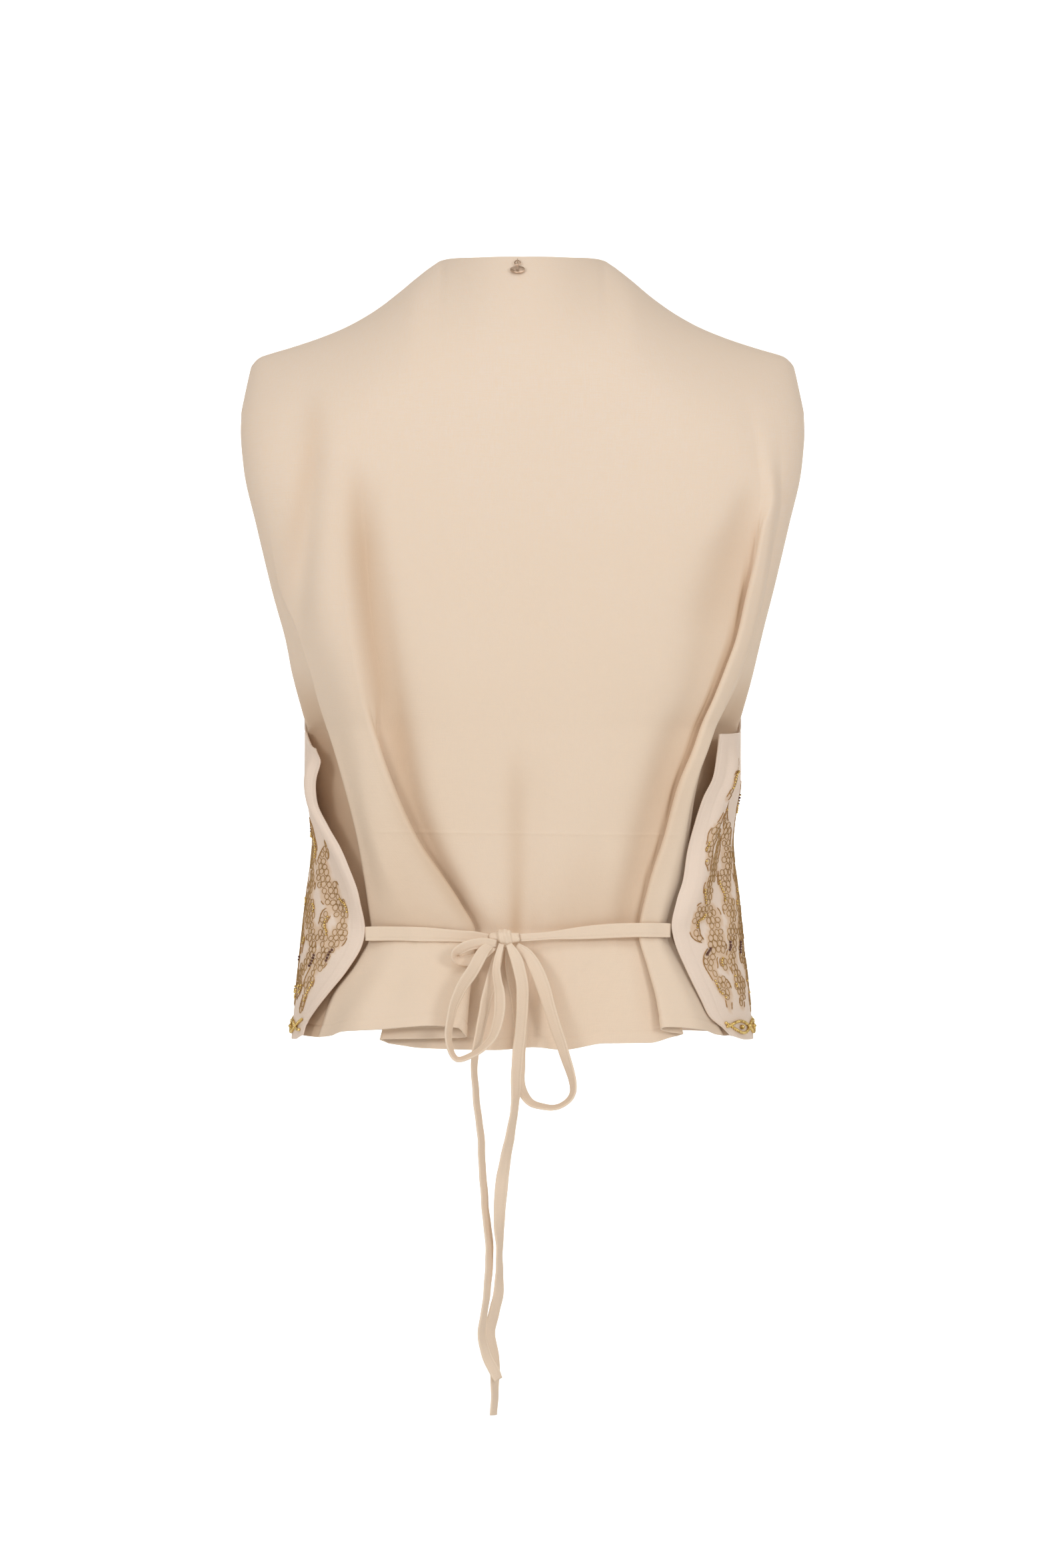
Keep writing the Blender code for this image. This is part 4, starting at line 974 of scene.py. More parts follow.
def front_grid(side, detail):
    share = np.array(detail["front"]) / SHOULDER_TIP_X
    flap_share = np.array(detail["flap"])
    place = np.concatenate([FRONT_PART * share, FRONT_PART + FLAP_PART * flap_share])
    hem = along(FRONT_HEM, "z", place, "place")
    fan_x = share * float(along(FRONT, "edge_x", FRONT_FAN_Z))
    top_x = share * SHOULDER_TIP_X
    neck_rise = crest_z(NECK_HALF_WIDTH) - FRONT_NECK_Z
    neckline = FRONT_NECK_Z + neck_rise * (top_x / NECK_HALF_WIDTH) ** FRONT_NECK_CURVE
    top_z = np.where(top_x < NECK_HALF_WIDTH - 0.01, neckline, shoulder_z(top_x))
    blank = np.full(len(flap_share), np.nan)
    rows = []
    for turn in np.linspace(0, math.pi / 2, detail["fan_rows"] + 1)[:-1]:
        fall = 1 - math.cos(turn)
        x = top_x + (fan_x - top_x) * fall
        z = top_z + (FRONT_FAN_Z - top_z) * fall
        rows.append([np.concatenate([v, blank]) for v in (x, front_depth(x, share, z), z)])
    for level in [z for z in detail["levels"] if FRONT_FAN_Z >= z > UNDERARM_Z]:
        x = share * float(along(FRONT, "edge_x", level))
        z = np.full(len(x), float(level))
        rows.append([np.concatenate([v, blank]) for v in (x, front_depth(x, share, z), z)])
    for level in [z for z in detail["levels"] if z <= UNDERARM_Z]:
        half, front, back_depth = row_at(BODY, level, "half_width", "front", "back")
        edge, lift = row_at(FLAPS[side], level, "edge_x", "lift")
        curve = plan_curve(half, 0.0, back_depth)
        reach = np.interp(-edge, curve[0], curve[2])
        out = lift * smooth(flap_share) + drag_fold(flap_share, level, side)
        flap_x, flap_y = on_curve(curve, reach * flap_share, out)
        z = level + (hem - HEM_Z) * hem_share(level)
        drop, start, length = FLAP_TOPS[side]
        top = drop * smooth((flap_share - start) / length)
        z[len(share):] += top * smooth((level - UNDERARM_Z + 40.0) / 40.0)
        x = np.concatenate([share * half, -flap_x])
        rows.append([x, np.concatenate([front * oval(share), -flap_y]), z])
    grid = np.array(rows).transpose(0, 2, 1)
    grid[:, 0, 0] = CENTRE_FRONT_X
    grid[:, :, 0] *= side
    return grid


# %% The two fronts
FRONT_DETAIL = {
    "fan_rows": 26,
    "front": np.concatenate([
        np.linspace(3, 17, 12), np.linspace(17, 57, 18)[1:], np.linspace(57, 195, 58)[1:],
    ]),
    "flap": np.concatenate([np.linspace(0, 0.84, 34)[1:], np.linspace(0.84, 1, 17)[1:]]),
    "levels": levels_with(FRONT_FAN_Z, HEM_Z, 2.7, [UNDERARM_Z] + HEM_LEVELS),
}
FACING, FACING_SLOPE, FACING_HEIGHT = 11.0, 1.6, 0.3
# The seam that holds the facing presses a groove beside the edge
GROOVE_INWARD, GROOVE_HALF, GROOVE_DEPTH = 2.6, 0.8, 0.25
panels = {}


def faced(inward):
    return FACING_HEIGHT * smooth((FACING + FACING_SLOPE / 2 - inward) / FACING_SLOPE)


def distance_across(grid):
    filled = np.where(np.isnan(grid), 0.0, grid)
    steps = np.linalg.norm(np.diff(filled, axis=1), axis=2)
    steps[np.isnan(grid[:, 1:, 0])] = 0.0
    return np.concatenate([np.zeros((len(grid), 1)), steps.cumsum(axis=1)], axis=1)


for side, name in ((LEFT, "left_front"), (RIGHT, "right_front")):
    grid = front_grid(side, FRONT_DETAIL)
    across = distance_across(grid)
    from_edge = across[:, -1:] - across
    facings = faced(from_edge) + faced(across)
    groove = -GROOVE_DEPTH * hump(from_edge, GROOVE_INWARD, GROOVE_HALF)
    push = unevenness(grid[..., 0] * 1.1 + 40.0, grid[..., 2], size=0.4) + facings + groove
    push = push + turned_hem(grid[..., 2], grid[-1:, :, 2])
    normal = normals_of(grid) * (1.0 if side < 0 else -1.0)
    grid = grid + normal * push[..., None]
    panels[side] = {"name": name, "grid": grid, "normal": normal, "across": across}
    print(name, grid.shape[:2], "rows and columns; widest", round(float(across[:, -1].max())), "mm")

# %% [markdown]
# ## Embroidery on the flat cloth
#
# An embroiderer stretches the cloth flat in a frame and works on it before it is sewn up. The same is
# done here. Each front gets a flat map: the distance from the centre edge along the cloth, and the height
# above the hem. The design is drawn on that map, and every stitch is then looked up on the curved panel
# with its normal, so the thread follows the side, the drag folds and the hem without any fitting.

# %% The flat map of a front
MAP_STEP = 1.5
RISE_COLUMN = 60


def add_flat_map(panel):
    grid, normal, across = panel["grid"], panel["normal"], panel["across"]
    climb = np.linalg.norm(np.diff(grid[:, RISE_COLUMN], axis=0), axis=1)
    rise = np.concatenate([np.cumsum(climb[::-1])[::-1], [0.0]])
    at = np.arange(0.0, across.max() + MAP_STEP, MAP_STEP)
    cloth_map = np.empty((len(grid), len(at), 6))
    edge = np.empty(len(grid))
    for r, row in enumerate(grid):
        real = ~np.isnan(row[:, 0])
        edge[r] = across[r, real][-1]
        for k in range(3):
            cloth_map[r, :, k] = np.interp(at, across[r, real], row[real, k])
            cloth_map[r, :, 3 + k] = np.interp(at, across[r, real], normal[r, real, k])
    panel.update(rise=rise, map=cloth_map, edge=edge)


def edge_at(panel, up):
    return np.interp(up, panel["rise"][::-1], panel["edge"][::-1])


def on_cloth(panel, across, up):
    found = panel["map"]
    rows, columns = found.shape[:2]
    row = np.interp(up, panel["rise"][::-1], np.arange(rows)[::-1])
    column = np.clip(across / MAP_STEP, 0, columns - 1.001)
    r = np.minimum(row.astype(int), rows - 2)
    c = column.astype(int)
    fr, fc = (row - r)[..., None], (column - c)[..., None]
    upper = found[r, c] * (1 - fc) + found[r, c + 1] * fc
    lower = found[r + 1, c] * (1 - fc) + found[r + 1, c + 1] * fc
    found = upper * (1 - fr) + lower * fr
    normal = unit(found[..., 3:])
    return found[..., :3] + normal * WALL / 2, normal


for panel in panels.values():
    add_flat_map(panel)
    print(panel["name"], "flat:", round(panel["rise"][0]), "mm high,", round(panel["edge"].max()), "mm wide")

# %% [markdown]
# ## The design
#
# The design is a generic one of scrolling stems with leaves. A stem or leaf is a soft line with a half
# width at each place, like a stroke of a brush. Stems repeat across the front by a loop, and each flap
# gets scrolls drawn from its free edge. A half width less the distance to a line says how deep inside a
# shape a place is, and the greatest such depth joins all shapes into one, so that leaves grow out of
# their stems.

# %% Stems, leaves and scrolls as brush strokes
STROKE_STEP = 1.4
SCROLL_LOBES, SCROLL_FULLNESS, LOBE_PITCH = 0.24, 1.2, 19.0
STEMS = table(("across", "low", "high", "swing", "period", "phase", "half"), [
    (34, 26, 350, 7, 96, 0.4, 5.5), (90, 30, 500, 8, 104, 2.2, 6.0), (146, 26, 476, 7, 92, 4.1, 5.5),
])
LEAF_SPACING, LEAF_START, LEAF_STOP = 39.0, 24.0, 40.0
LEAF_REACH = table(("reach", "climb", "half"), [
    (0, 0, 2.2), (7, 5, 4.6), (14, 12, 7.2), (20, 21, 6.6), (23, 31, 3.6), (23, 37, 1.2),
])
# Scrolls of the flaps: distance from the free edge, height above the hem and half width
FLAP_SCROLLS = {
    LEFT: [
        [(22, 20, 2), (27, 32, 4), (33, 46, 5.5), (30, 60, 6), (22, 74, 6), (20, 88, 5), (28, 100, 6),
         (37, 112, 6.5), (36, 126, 5), (28, 134, 3.5), (24, 142, 1.5)],
        [(50, 22, 3), (56, 34, 6), (52, 48, 6.5), (45, 60, 5), (50, 72, 5), (58, 86, 7.5), (60, 102, 6.5),
         (54, 116, 6), (58, 130, 6), (66, 142, 5), (70, 156, 2)],
        [(33, 66, 3.5), (39, 76, 5), (37, 87, 4), (31, 92, 1.5)],
        [(43, 28, 1), (42, 36, 3), (45, 43, 1)],
        [(45, 122, 1.5), (46, 132, 4), (42, 144, 4.5), (43, 158, 2)],
        [(74, 24, 4), (72, 42, 7), (79, 60, 7.5), (76, 82, 7), (83, 104, 8), (79, 126, 6.5), (86, 150, 4)],
        [(65, 60, 1.5), (67, 68, 4), (64, 76, 1.5)],
    ],
    RIGHT: [
        [(25, 22, 2), (28, 34, 5.5), (22, 46, 4.5), (25, 58, 4.5), (35, 68, 6.5), (39, 82, 6.5), (31, 96, 6),
         (26, 110, 5.5), (31, 124, 6), (35, 138, 4.5), (29, 150, 2)],
        [(44, 24, 3), (50, 38, 6.5), (47, 52, 5), (53, 66, 5.5), (60, 82, 7), (54, 98, 6), (48, 112, 5.5),
         (52, 128, 6.5), (48, 146, 5), (42, 160, 3), (37, 170, 1.5)],
        [(31, 96, 4), (20, 88, 4.5), (18, 76, 3), (23, 70, 1.5)],
        [(20, 120, 1.5), (17, 132, 3.5), (19, 146, 4), (24, 162, 1.5)],
        [(37, 46, 1), (37, 54, 3.5), (41, 61, 1.5)],
        [(22, 172, 1.5), (27, 182, 5.5), (33, 192, 5), (34, 202, 2)],
        [(70, 24, 4), (76, 42, 7.5), (71, 62, 7), (79, 84, 8), (73, 106, 7), (69, 130, 7), (73, 156, 6),
         (66, 184, 3)],
    ],
}


def stroke(rows, lobes=0.0):
    line = curve_through([(a, v, 0.0, w) for a, v, w in rows], STROKE_STEP)
    turn = 2 * math.pi * STROKE_STEP * np.arange(len(line)) / LOBE_PITCH
    line[:, 3] *= 1.0 + lobes * np.sin(turn + line[0, 0])
    return line


def stem_strokes():
    strokes = []
    for base, low, high, swing, period, phase, half in zip(*STEMS.values()):
        ups = np.arange(low, high, 9.0)
        middle = base + swing * np.sin(2 * math.pi * ups / period + phase)
        ends = smooth((ups - low + 6.0) / 30.0) * smooth((high - ups) / 40.0)
        strokes.append(stroke(zip(middle, ups, 1.5 + half * ends * (1 + 0.25 * np.sin(ups / 13.0)))))
        for number, up in enumerate(np.arange(low + LEAF_START, high - LEAF_STOP, LEAF_SPACING)):
            toward = 1 if number % 2 else -1
            start = base + swing * math.sin(2 * math.pi * up / period + phase)
            size = 1.0 + 0.1 * math.sin(1.7 * number + phase)
            strokes.append(stroke(
                (start + toward * size * reach, up + size * climb, size * half)
                for reach, climb, half in zip(*LEAF_REACH.values())
            ))
    return strokes


def flap_strokes(panel, side):
    return [
        stroke(
            ((float(edge_at(panel, up)) - inward, up, SCROLL_FULLNESS * half) for inward, up, half in rows),
            lobes=SCROLL_LOBES,
        )
        for rows in FLAP_SCROLLS[side]
    ]


# %% How deep a place lies inside the design, and where cloth stays bare
AT_A_TIME = 1500
EDGE_BARE, CENTRE_BARE, TOP_BARE, HEM_BARE = 13.0, 14.0, 12.0, 19.0


def depth_inside(strokes, places):
    discs = np.vstack(strokes)
    flat = places.reshape(-1, 2)
    deepest = np.empty(len(flat))
    for start in range(0, len(flat), AT_A_TIME):
        part = flat[start:start + AT_A_TIME]
        gap = np.linalg.norm(part[:, None] - discs[None, :, :2], axis=2)
        deepest[start:start + AT_A_TIME] = (discs[None, :, 3] - gap).max(axis=1)
    return deepest.reshape(places.shape[:-1])


def allowed(panel, places):
    across, up = places[..., 0], places[..., 1]
    roomy = np.minimum(edge_at(panel, up), edge_at(panel, up + 8.0)) - EDGE_BARE
    return (across < roomy) & (across > CENTRE_BARE) & (up > HEM_BARE) & (up < panel["rise"][0] - TOP_BARE)


for side, panel in panels.items():
    panel["strokes"] = stem_strokes() + flap_strokes(panel, side)
    ups = np.broadcast_to(panel["rise"][:, None], panel["across"].shape)
    places = np.stack([panel["across"], ups], axis=-1)
    inside = depth_inside(panel["strokes"], places)
    panel["stitched"] = smooth((inside + 0.5) / 1.6) * allowed(panel, places)
    print(panel["name"], len(panel["strokes"]), "strokes")

# %% [markdown]
# ## Outlines, pebble stitch and beads
#
# Three kinds of work fill the design. A couched cord outlines each shape. Rows of small rings, a pebble
# stitch, fill it, each worked round a bare spot of cloth. Metal beads run beside some stems and in two
# crossing rows above the hem. There are thousands of rings and beads, so each has only a few dozen faces
# and they are made by whole arrays at once, in one joined mesh a kind.

# %% Couched outlines
CORD_STEP = 1.15
CORD_RADIUS = 0.42
CORD_SIDES = 6
CORD_TWIST, CORD_TWIST_PITCH = 0.16, 3.3


def outline_runs(panel):
    runs = []
    for axis in panel["strokes"]:
        heading = unit(np.gradient(axis[:, :2], axis=0))
        aside = np.stack([-heading[:, 1], heading[:, 0]], axis=1) * axis[:, 3:4]
        loop = np.vstack([axis[:, :2] + aside, (axis[:, :2] - aside)[::-1]])
        loop = np.vstack([loop, loop[:1]])
        length = run_length(loop)
        fine = points_at(np.arange(0, length[-1], CORD_STEP), length, loop)
        keep = (depth_inside(panel["strokes"], fine) < 0.4) & allowed(panel, fine)
        breaks = np.nonzero(np.diff(keep.astype(int)))[0] + 1
        parts = zip(np.split(fine, breaks), np.split(keep, breaks))
        runs += [run for run, kept in parts if kept[0] and len(run) > 4]
    return runs


def tube_mesh(lines, normals, radii, sides):
    points, faces, count = [], [], 0
    turn = np.linspace(0, 2 * math.pi, sides, endpoint=False)
    for line, normal, radius in zip(lines, normals, radii):
        heading = unit(np.gradient(line, axis=0))
        aside = unit(np.cross(heading, normal))
        up = np.cross(aside, heading)
        ring = aside[:, None] * np.cos(turn)[None, :, None] + up[:, None] * np.sin(turn)[None, :, None]
        points.append((line[:, None] + ring * radius[:, None, None]).reshape(-1, 3))
        faces += [[count + corner for corner in face] for face in tube_faces(len(line), sides)]
        count += len(line) * sides
    return np.vstack(points), faces


def couched_cords(panel):
    lines, normals, radii = [], [], []
    for run in outline_runs(panel):
        place, normal = on_cloth(panel, run[:, 0], run[:, 1])
        at = np.arange(len(run)) * CORD_STEP
        ends = np.minimum(1.0, 0.35 + np.minimum(at, at[-1] - at) / 1.5)
        radius = CORD_RADIUS * ends * (1 + CORD_TWIST * np.sin(at * 2 * math.pi / CORD_TWIST_PITCH))
        lines.append(place + normal * CORD_RADIUS * 0.55)
        normals.append(normal)
        radii.append(radius)
    return tube_mesh(lines, normals, radii, CORD_SIDES)


# %% Pebble stitch
PEBBLE_PITCH = 4.9
PEBBLE_RADIUS = 2.2
PEBBLE_POINTS = 8
PEBBLE_THREAD = 0.34
# Rows of a honeycomb lie closer than its columns, and no ring sits exactly in its place or is quite round
HONEYCOMB_ROW = 0.866
PEBBLE_DRIFT, PEBBLE_SIZES, PEBBLE_OVAL = 0.32, 0.07, 0.14


def pebble_centres(panel, draw):
    rows = np.arange(0, panel["rise"][0], PEBBLE_PITCH * HONEYCOMB_ROW)
    columns = np.arange(0, panel["edge"].max(), PEBBLE_PITCH)
    up, across = np.meshgrid(rows, columns, indexing="ij")
    across = across + (np.arange(len(rows)) % 2)[:, None] * PEBBLE_PITCH / 2
    places = np.stack([across, up], axis=-1).reshape(-1, 2)
    places = places + draw.normal(0.0, PEBBLE_DRIFT, places.shape)
    places = places[allowed(panel, places)]
    return places[depth_inside(panel["strokes"], places) > PEBBLE_RADIUS * 0.9]


def pebbles(panel, draw):
    centres = pebble_centres(panel, draw)
    turn = np.linspace(0, 2 * math.pi, PEBBLE_POINTS, endpoint=False)
    size = PEBBLE_RADIUS * (1 + draw.normal(0.0, PEBBLE_SIZES, (len(centres), 1)))
    size = size * (1 + PEBBLE_OVAL * np.cos(2 * turn[None] + draw.uniform(0, math.pi, (len(centres), 1))))
    ring = np.stack([np.cos(turn), np.sin(turn)], axis=1)[None] * size[..., None]
    places = centres[:, None] + ring
    middle, _ = on_cloth(panel, centres[:, 0], centres[:, 1])
    rim, normal = on_cloth(panel, places[..., 0], places[..., 1])
    outward = unit(rim - middle[:, None])
    section = [(-PEBBLE_THREAD, -0.1), (0.0, PEBBLE_THREAD * 1.5), (PEBBLE_THREAD, -0.1)]
    points = np.stack([rim + outward * aside + normal * up for aside, up in section], axis=2)
    faces = grid_faces(PEBBLE_POINTS, len(section), closed_rows=True, closed_columns=True)
    per_ring = PEBBLE_POINTS * len(section)
    faces = faces[None] + (np.arange(len(centres)) * per_ring)[:, None, None]
    return points.reshape(-1, 3), faces.reshape(-1, 4).tolist(), len(centres)


# %% Beads
BEAD_AROUND = 6
BEAD_LEVELS = (-0.5, 0.5)


def bead_template():
    n = BEAD_AROUND
    points, faces = [(0.0, 0.0, -1.0)], []
    for level in BEAD_LEVELS:
        ring_radius = (1.0 - level * level) ** 0.5
        turn = np.linspace(0, 2 * math.pi, n, endpoint=False)
        points += [(ring_radius * math.cos(t), ring_radius * math.sin(t), level) for t in turn]
    for i in range(n):
        j = (i + 1) % n
        faces += [(0, 1 + j, 1 + i), (1 + i, 1 + j, 1 + n + j, 1 + n + i), (1 + n + i, 1 + n + j, 1 + 2 * n)]
    return np.array(points + [(0.0, 0.0, 1.0)]), faces


def beads(panel, places, radii):
    template, template_faces = bead_template()
    place, normal = on_cloth(panel, places[:, 0], places[:, 1])
    aside = unit(np.cross(normal, (0.0, 0.13, 1.0)))
    centre = place + normal * (radii * 0.8)[:, None]
    axes = np.stack([aside, np.cross(normal, aside), normal], axis=1)
    points = centre[:, None] + (template @ axes) * radii[:, None, None]
    first = np.arange(len(places)) * len(template)
    faces = [tuple(base + corner for corner in face) for base in first for face in template_faces]
    return points.reshape(-1, 3), faces


# Two crossing rows above the hem with a large bead in each eye, and a straight row beside the centre edge
HEM_ROW_MIDDLE, HEM_ROW_SWING, HEM_ROW_PERIOD, HEM_ROW_END = 9.0, 4.3, 31.0, 6.0
HEM_BEAD, HEM_EYE_BEAD, EDGE_BEAD, STEM_BEAD, DARK_BEAD = 1.3, 2.1, 1.05, 0.95, 1.0
HEM_SPACING, EDGE_SPACING = 2.05, 2.4
EDGE_ROW_INWARD, EDGE_ROW_LOW, EDGE_ROW_TOP = 7.0, 18.0, 8.0
STEM_ROW_INWARD, STEM_ROW_DEEPEST, STEM_ROW_END = 1.7, 2.6, 4.0


def hem_beads(panel):
    end = float(edge_at(panel, HEM_ROW_MIDDLE)) - HEM_ROW_END
    at = np.arange(HEM_ROW_END, end, HEM_SPACING)
    swing = HEM_ROW_SWING * np.sin(math.pi * at / HEM_ROW_PERIOD)
    rows = [np.stack([at, HEM_ROW_MIDDLE + sign * swing], axis=1) for sign in (1, -1)]
    eyes = np.arange(HEM_ROW_PERIOD / 2, end, HEM_ROW_PERIOD)
    rows.append(np.stack([eyes, np.full(len(eyes), HEM_ROW_MIDDLE)], axis=1))
    ups = np.arange(EDGE_ROW_LOW, panel["rise"][0] - EDGE_ROW_TOP, EDGE_SPACING)
    rows.append(np.stack([np.full(len(ups), EDGE_ROW_INWARD), ups], axis=1))
    radii = [HEM_BEAD, HEM_BEAD, HEM_EYE_BEAD, EDGE_BEAD]
    return np.vstack(rows), np.concatenate([np.full(len(row), r) for row, r in zip(rows, radii)])


def stem_beads(panel, spacing, run, every, start):
    chosen = []
    for axis in panel["strokes"]:
        heading = unit(np.gradient(axis[:, :2], axis=0))
        aside = np.stack([heading[:, 1], -heading[:, 0]], axis=1)
        line = axis[:, :2] + aside * (axis[:, 3:4] - STEM_ROW_INWARD)
        length = run_length(line)
        at = np.arange(start, length[-1] - STEM_ROW_END, spacing)
        chosen.append(points_at(at[(at - start) % every < run], length, line))
    places = np.vstack(chosen)
    return places[allowed(panel, places) & (depth_inside(panel["strokes"], places) < STEM_ROW_DEEPEST)]


# %% All of the needlework, one joined piece of each kind for each front
draw = np.random.default_rng(21)
needlework = 0
for panel in panels.values():
    name = panel["name"]
    cords = make_piece(f"{name}_outline_cord", *couched_cords(panel), tan_thread)
    pebble_points, pebble_faces, rings = pebbles(panel, draw)
    net = make_piece(f"{name}_pebble_stitch", pebble_points, pebble_faces, net_thread)
    hem_places, hem_radii = hem_beads(panel)
    gold_places = stem_beads(panel, spacing=2.0, run=16.0, every=74.0, start=8.0)
    places = np.vstack([hem_places, gold_places])
    radii = np.concatenate([hem_radii, np.full(len(gold_places), STEM_BEAD)])
    gold = make_piece(f"{name}_gold_beads", *beads(panel, places, radii), gold_beads)
    dark_places = stem_beads(panel, spacing=2.1, run=10.0, every=120.0, start=42.0)
    dark_radii = np.full(len(dark_places), DARK_BEAD)
    dark = make_piece(f"{name}_dark_beads", *beads(panel, dark_places, dark_radii), dark_beads)
    for piece in (cords, net, gold, dark):
        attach(piece, "garment")
        needlework += sum(len(face.vertices) - 2 for face in piece.data.polygons)
    print(name, rings, "rings,", len(places), "gold beads,", len(dark_places), "dark beads")
print("needlework triangles:", needlework)

# %% [markdown]
# ## The fronts as pieces
#
# Both panels get the same thin shell as the back. They overlap nothing: the back lies under the flaps,
# and the two centre edges stand 6 mm apart, because how the real fronts close can't be seen from behind.

# %% Two wrapped fronts
FRONT_NODES = {LEFT: "front_left", RIGHT: "front_right"}
for side, node in FRONT_NODES.items():
    panel = panels[side]
    front = cloth_piece(
        panel["name"] + "_panel", panel["grid"], embroidered_crepe, flip=side > 0,
        attributes={"stitched": panel["stitched"]},
    )
    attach(front, "garment")
    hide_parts(node)
    print(front.name, len(front.data.polygons), "faces, cut", cut_area(front), "square metres")

# %% [markdown]
# ## The tie across the back
#
# Each tie leaves the edge of its flap and lies over the pleats, flat on the cloth, until the knot gathers
# it. Its route is found by feeling for the cloth that stands out furthest under each short stretch of it,
# and a tight strap spans the hollows between such places.

# %% Straps from the flaps to the knot
KNOT = {"x": -12.7, "y": -91.0, "z": -432.7, "half": 10.5}
KNOT_GAP = 0.5
TIE_REST = 0.1
FLAT_WIDTH, KNOT_END_WIDTH = 10.0, 5.5
FEEL_X, FEEL_Z = 3.5, 6.0
# How high each tie leaves its flap, how far it bows upwards on the way, and how much the knot narrows it
WAIST_TIES = {LEFT: ("left", -430.5, 1.0, 1.6), RIGHT: ("right", -428.0, 1.6, 4.2)}


def cloth_front(x, z):
    found = []
    for points in (back_points, panels[LEFT]["grid"], panels[RIGHT]["grid"]):
        near = (np.abs(points[..., 0] - x) < FEEL_X) & (np.abs(points[..., 2] - z) < FEEL_Z)
        found.extend(points[..., 1][near & (points[..., 1] < 0)])
    return min(found)


def taut(at, out):
    tight = []
    for i, own in enumerate(out):
        spans = [
            out[j] + (out[k] - out[j]) * (at[i] - at[j]) / (at[k] - at[j])
            for j in range(i) for k in range(i + 1, len(at))
        ]
        tight.append(max([own] + spans))
    return np.array(tight)


def waist_route(side, start_z, bow, narrowed):
    edge, lift = row_at(FLAPS[side], start_z, "edge_x", "lift")
    edge = edge - 0.4
    knot_x = KNOT["x"] + side * (KNOT["half"] + KNOT_GAP)
    half, back_depth = row_at(BODY, start_z, "half_width", "back")
    start_y = -(back_depth + lift) * float(oval(edge / half))
    stops = np.linspace(0.08, 0.88, 12)
    x = side * edge + (knot_x - side * edge) * stops
    z = start_z + (KNOT["z"] - start_z) * smooth(stops) + bow * np.sin(math.pi * stops)
    y = [cloth_front(*place) - WALL / 2 - TIE_THICKNESS / 2 - TIE_REST for place in zip(x, z)]
    x = np.concatenate([[side * edge], x, [knot_x]])
    z = np.concatenate([[start_z], z, [KNOT["z"]]])
    y = -taut(side * x, -np.array([start_y, *y, KNOT["y"] + 0.5]))
    width = FLAT_WIDTH - narrowed * smooth((stops - 0.5) / 0.34)
    width = np.concatenate([[FLAT_WIDTH], width, [KNOT_END_WIDTH]])
    return list(zip(x, y, z, np.zeros(len(x)), width))


for side, (name, *shape) in WAIST_TIES.items():
    route = waist_route(side, *shape)
    strap, path = ribbon(f"{name}_waist_tie", route, cream_crepe, upright=(0.0, 0.0, -1.0))
    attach(strap, "garment")
    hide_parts(f"tie_{name}_waist")
    print(strap.name, round(float(run_length(path)[-1] * 1000)), "mm")

# %% [markdown]
# ## The knot
#
# In a bow, one tie makes a band round the other where they cross. The band is a short turned body here,
# drawn in at both ends, with slanting creases pressed into it where the cloth is squeezed. A narrow fold
# of the left tie stands out of the knot beside it and doubles back.

# %% Turned body with slanting creases
KNOT_ROUND, KNOT_ALONG, KNOT_UV_RADIUS = 72, 60, 5.0
KNOT_PROFILE = table(("along", "radius"), [
    (-1.0, 2.0), (-0.93, 2.8), (-0.7, 3.2), (-0.5, 3.6), (-0.42, 4.9), (-0.3, 5.7), (0, 6.1), (0.3, 5.7),
    (0.42, 4.9), (0.5, 3.6), (0.7, 3.2), (0.93, 2.8), (1.0, 2.0),
])
stations = np.linspace(-1, 1, KNOT_ALONG)
turns = np.linspace(0, 2 * math.pi, KNOT_ROUND, endpoint=False)
reach, turn = np.meshgrid(stations, turns, indexing="ij")
# Three slanting creases run along the knot with finer ones across them, and the band's folds run round it
creases = 0.35 * np.sin(3 * turn + 3.0 * reach) + 0.12 * np.sin(7 * turn - 4.0 * reach + 1.0)
band_folds = 0.32 * np.sin(15.0 * reach + 0.9 * np.sin(turn)) * smooth((0.44 - np.abs(reach)) / 0.1)
radius = along(KNOT_PROFILE, "radius", reach, "along") + creases + band_folds
knot_points = np.stack([
    KNOT["x"] + KNOT["half"] * reach + 0.5 * np.sin(2 * turn),
    KNOT["y"] + radius * np.cos(turn),
    KNOT["z"] + 1.04 * radius * np.sin(turn),
], axis=-1)
knot_uv = np.stack([KNOT["half"] * reach, KNOT_UV_RADIUS * turn], axis=-1).reshape(-1, 2)
knot = make_piece(
    "bow_knot", knot_points.reshape(-1, 3), tube_faces(KNOT_ALONG, KNOT_ROUND), cream_crepe, knot_uv,
)
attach(knot, "garment")
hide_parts("tie_knot")

SIDE_FOLD_ROUTE = [
    (-18.5, -96.5, -436.5, 10, 5), (-27, -99.5, -436, 15, 7), (-37, -101.5, -437.6, 20, 8),
    (-45, -101.8, -441.5, 30, 8), (-47.6, -100.6, -445.4, 45, 7.6), (-44, -98.8, -448.3, 30, 7.6),
    (-36, -97.6, -448.2, 12, 7.6), (-27, -96.6, -444.4, 8, 6), (-20, -95.4, -439.5, 0, 4),
]
side_fold, _ = ribbon("side_fold_tie", SIDE_FOLD_ROUTE, cream_crepe)
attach(side_fold, "garment")
print("knot and its side fold made")

# %% [markdown]
# ## The charm
#
# A loop of thread at the middle of the back neck holds a small ring, and a blank oval medallion hangs in
# it. The two wires are right in the frame, so they only get their finishes. The medallion is a disc whose
# face is inset and pressed in, which leaves a rim, and whose rim is bevelled. It lies along the slope of
# the cloth, so it is modelled flat on the ground plane and then carried to its place by a matrix that is
# applied to its mesh.

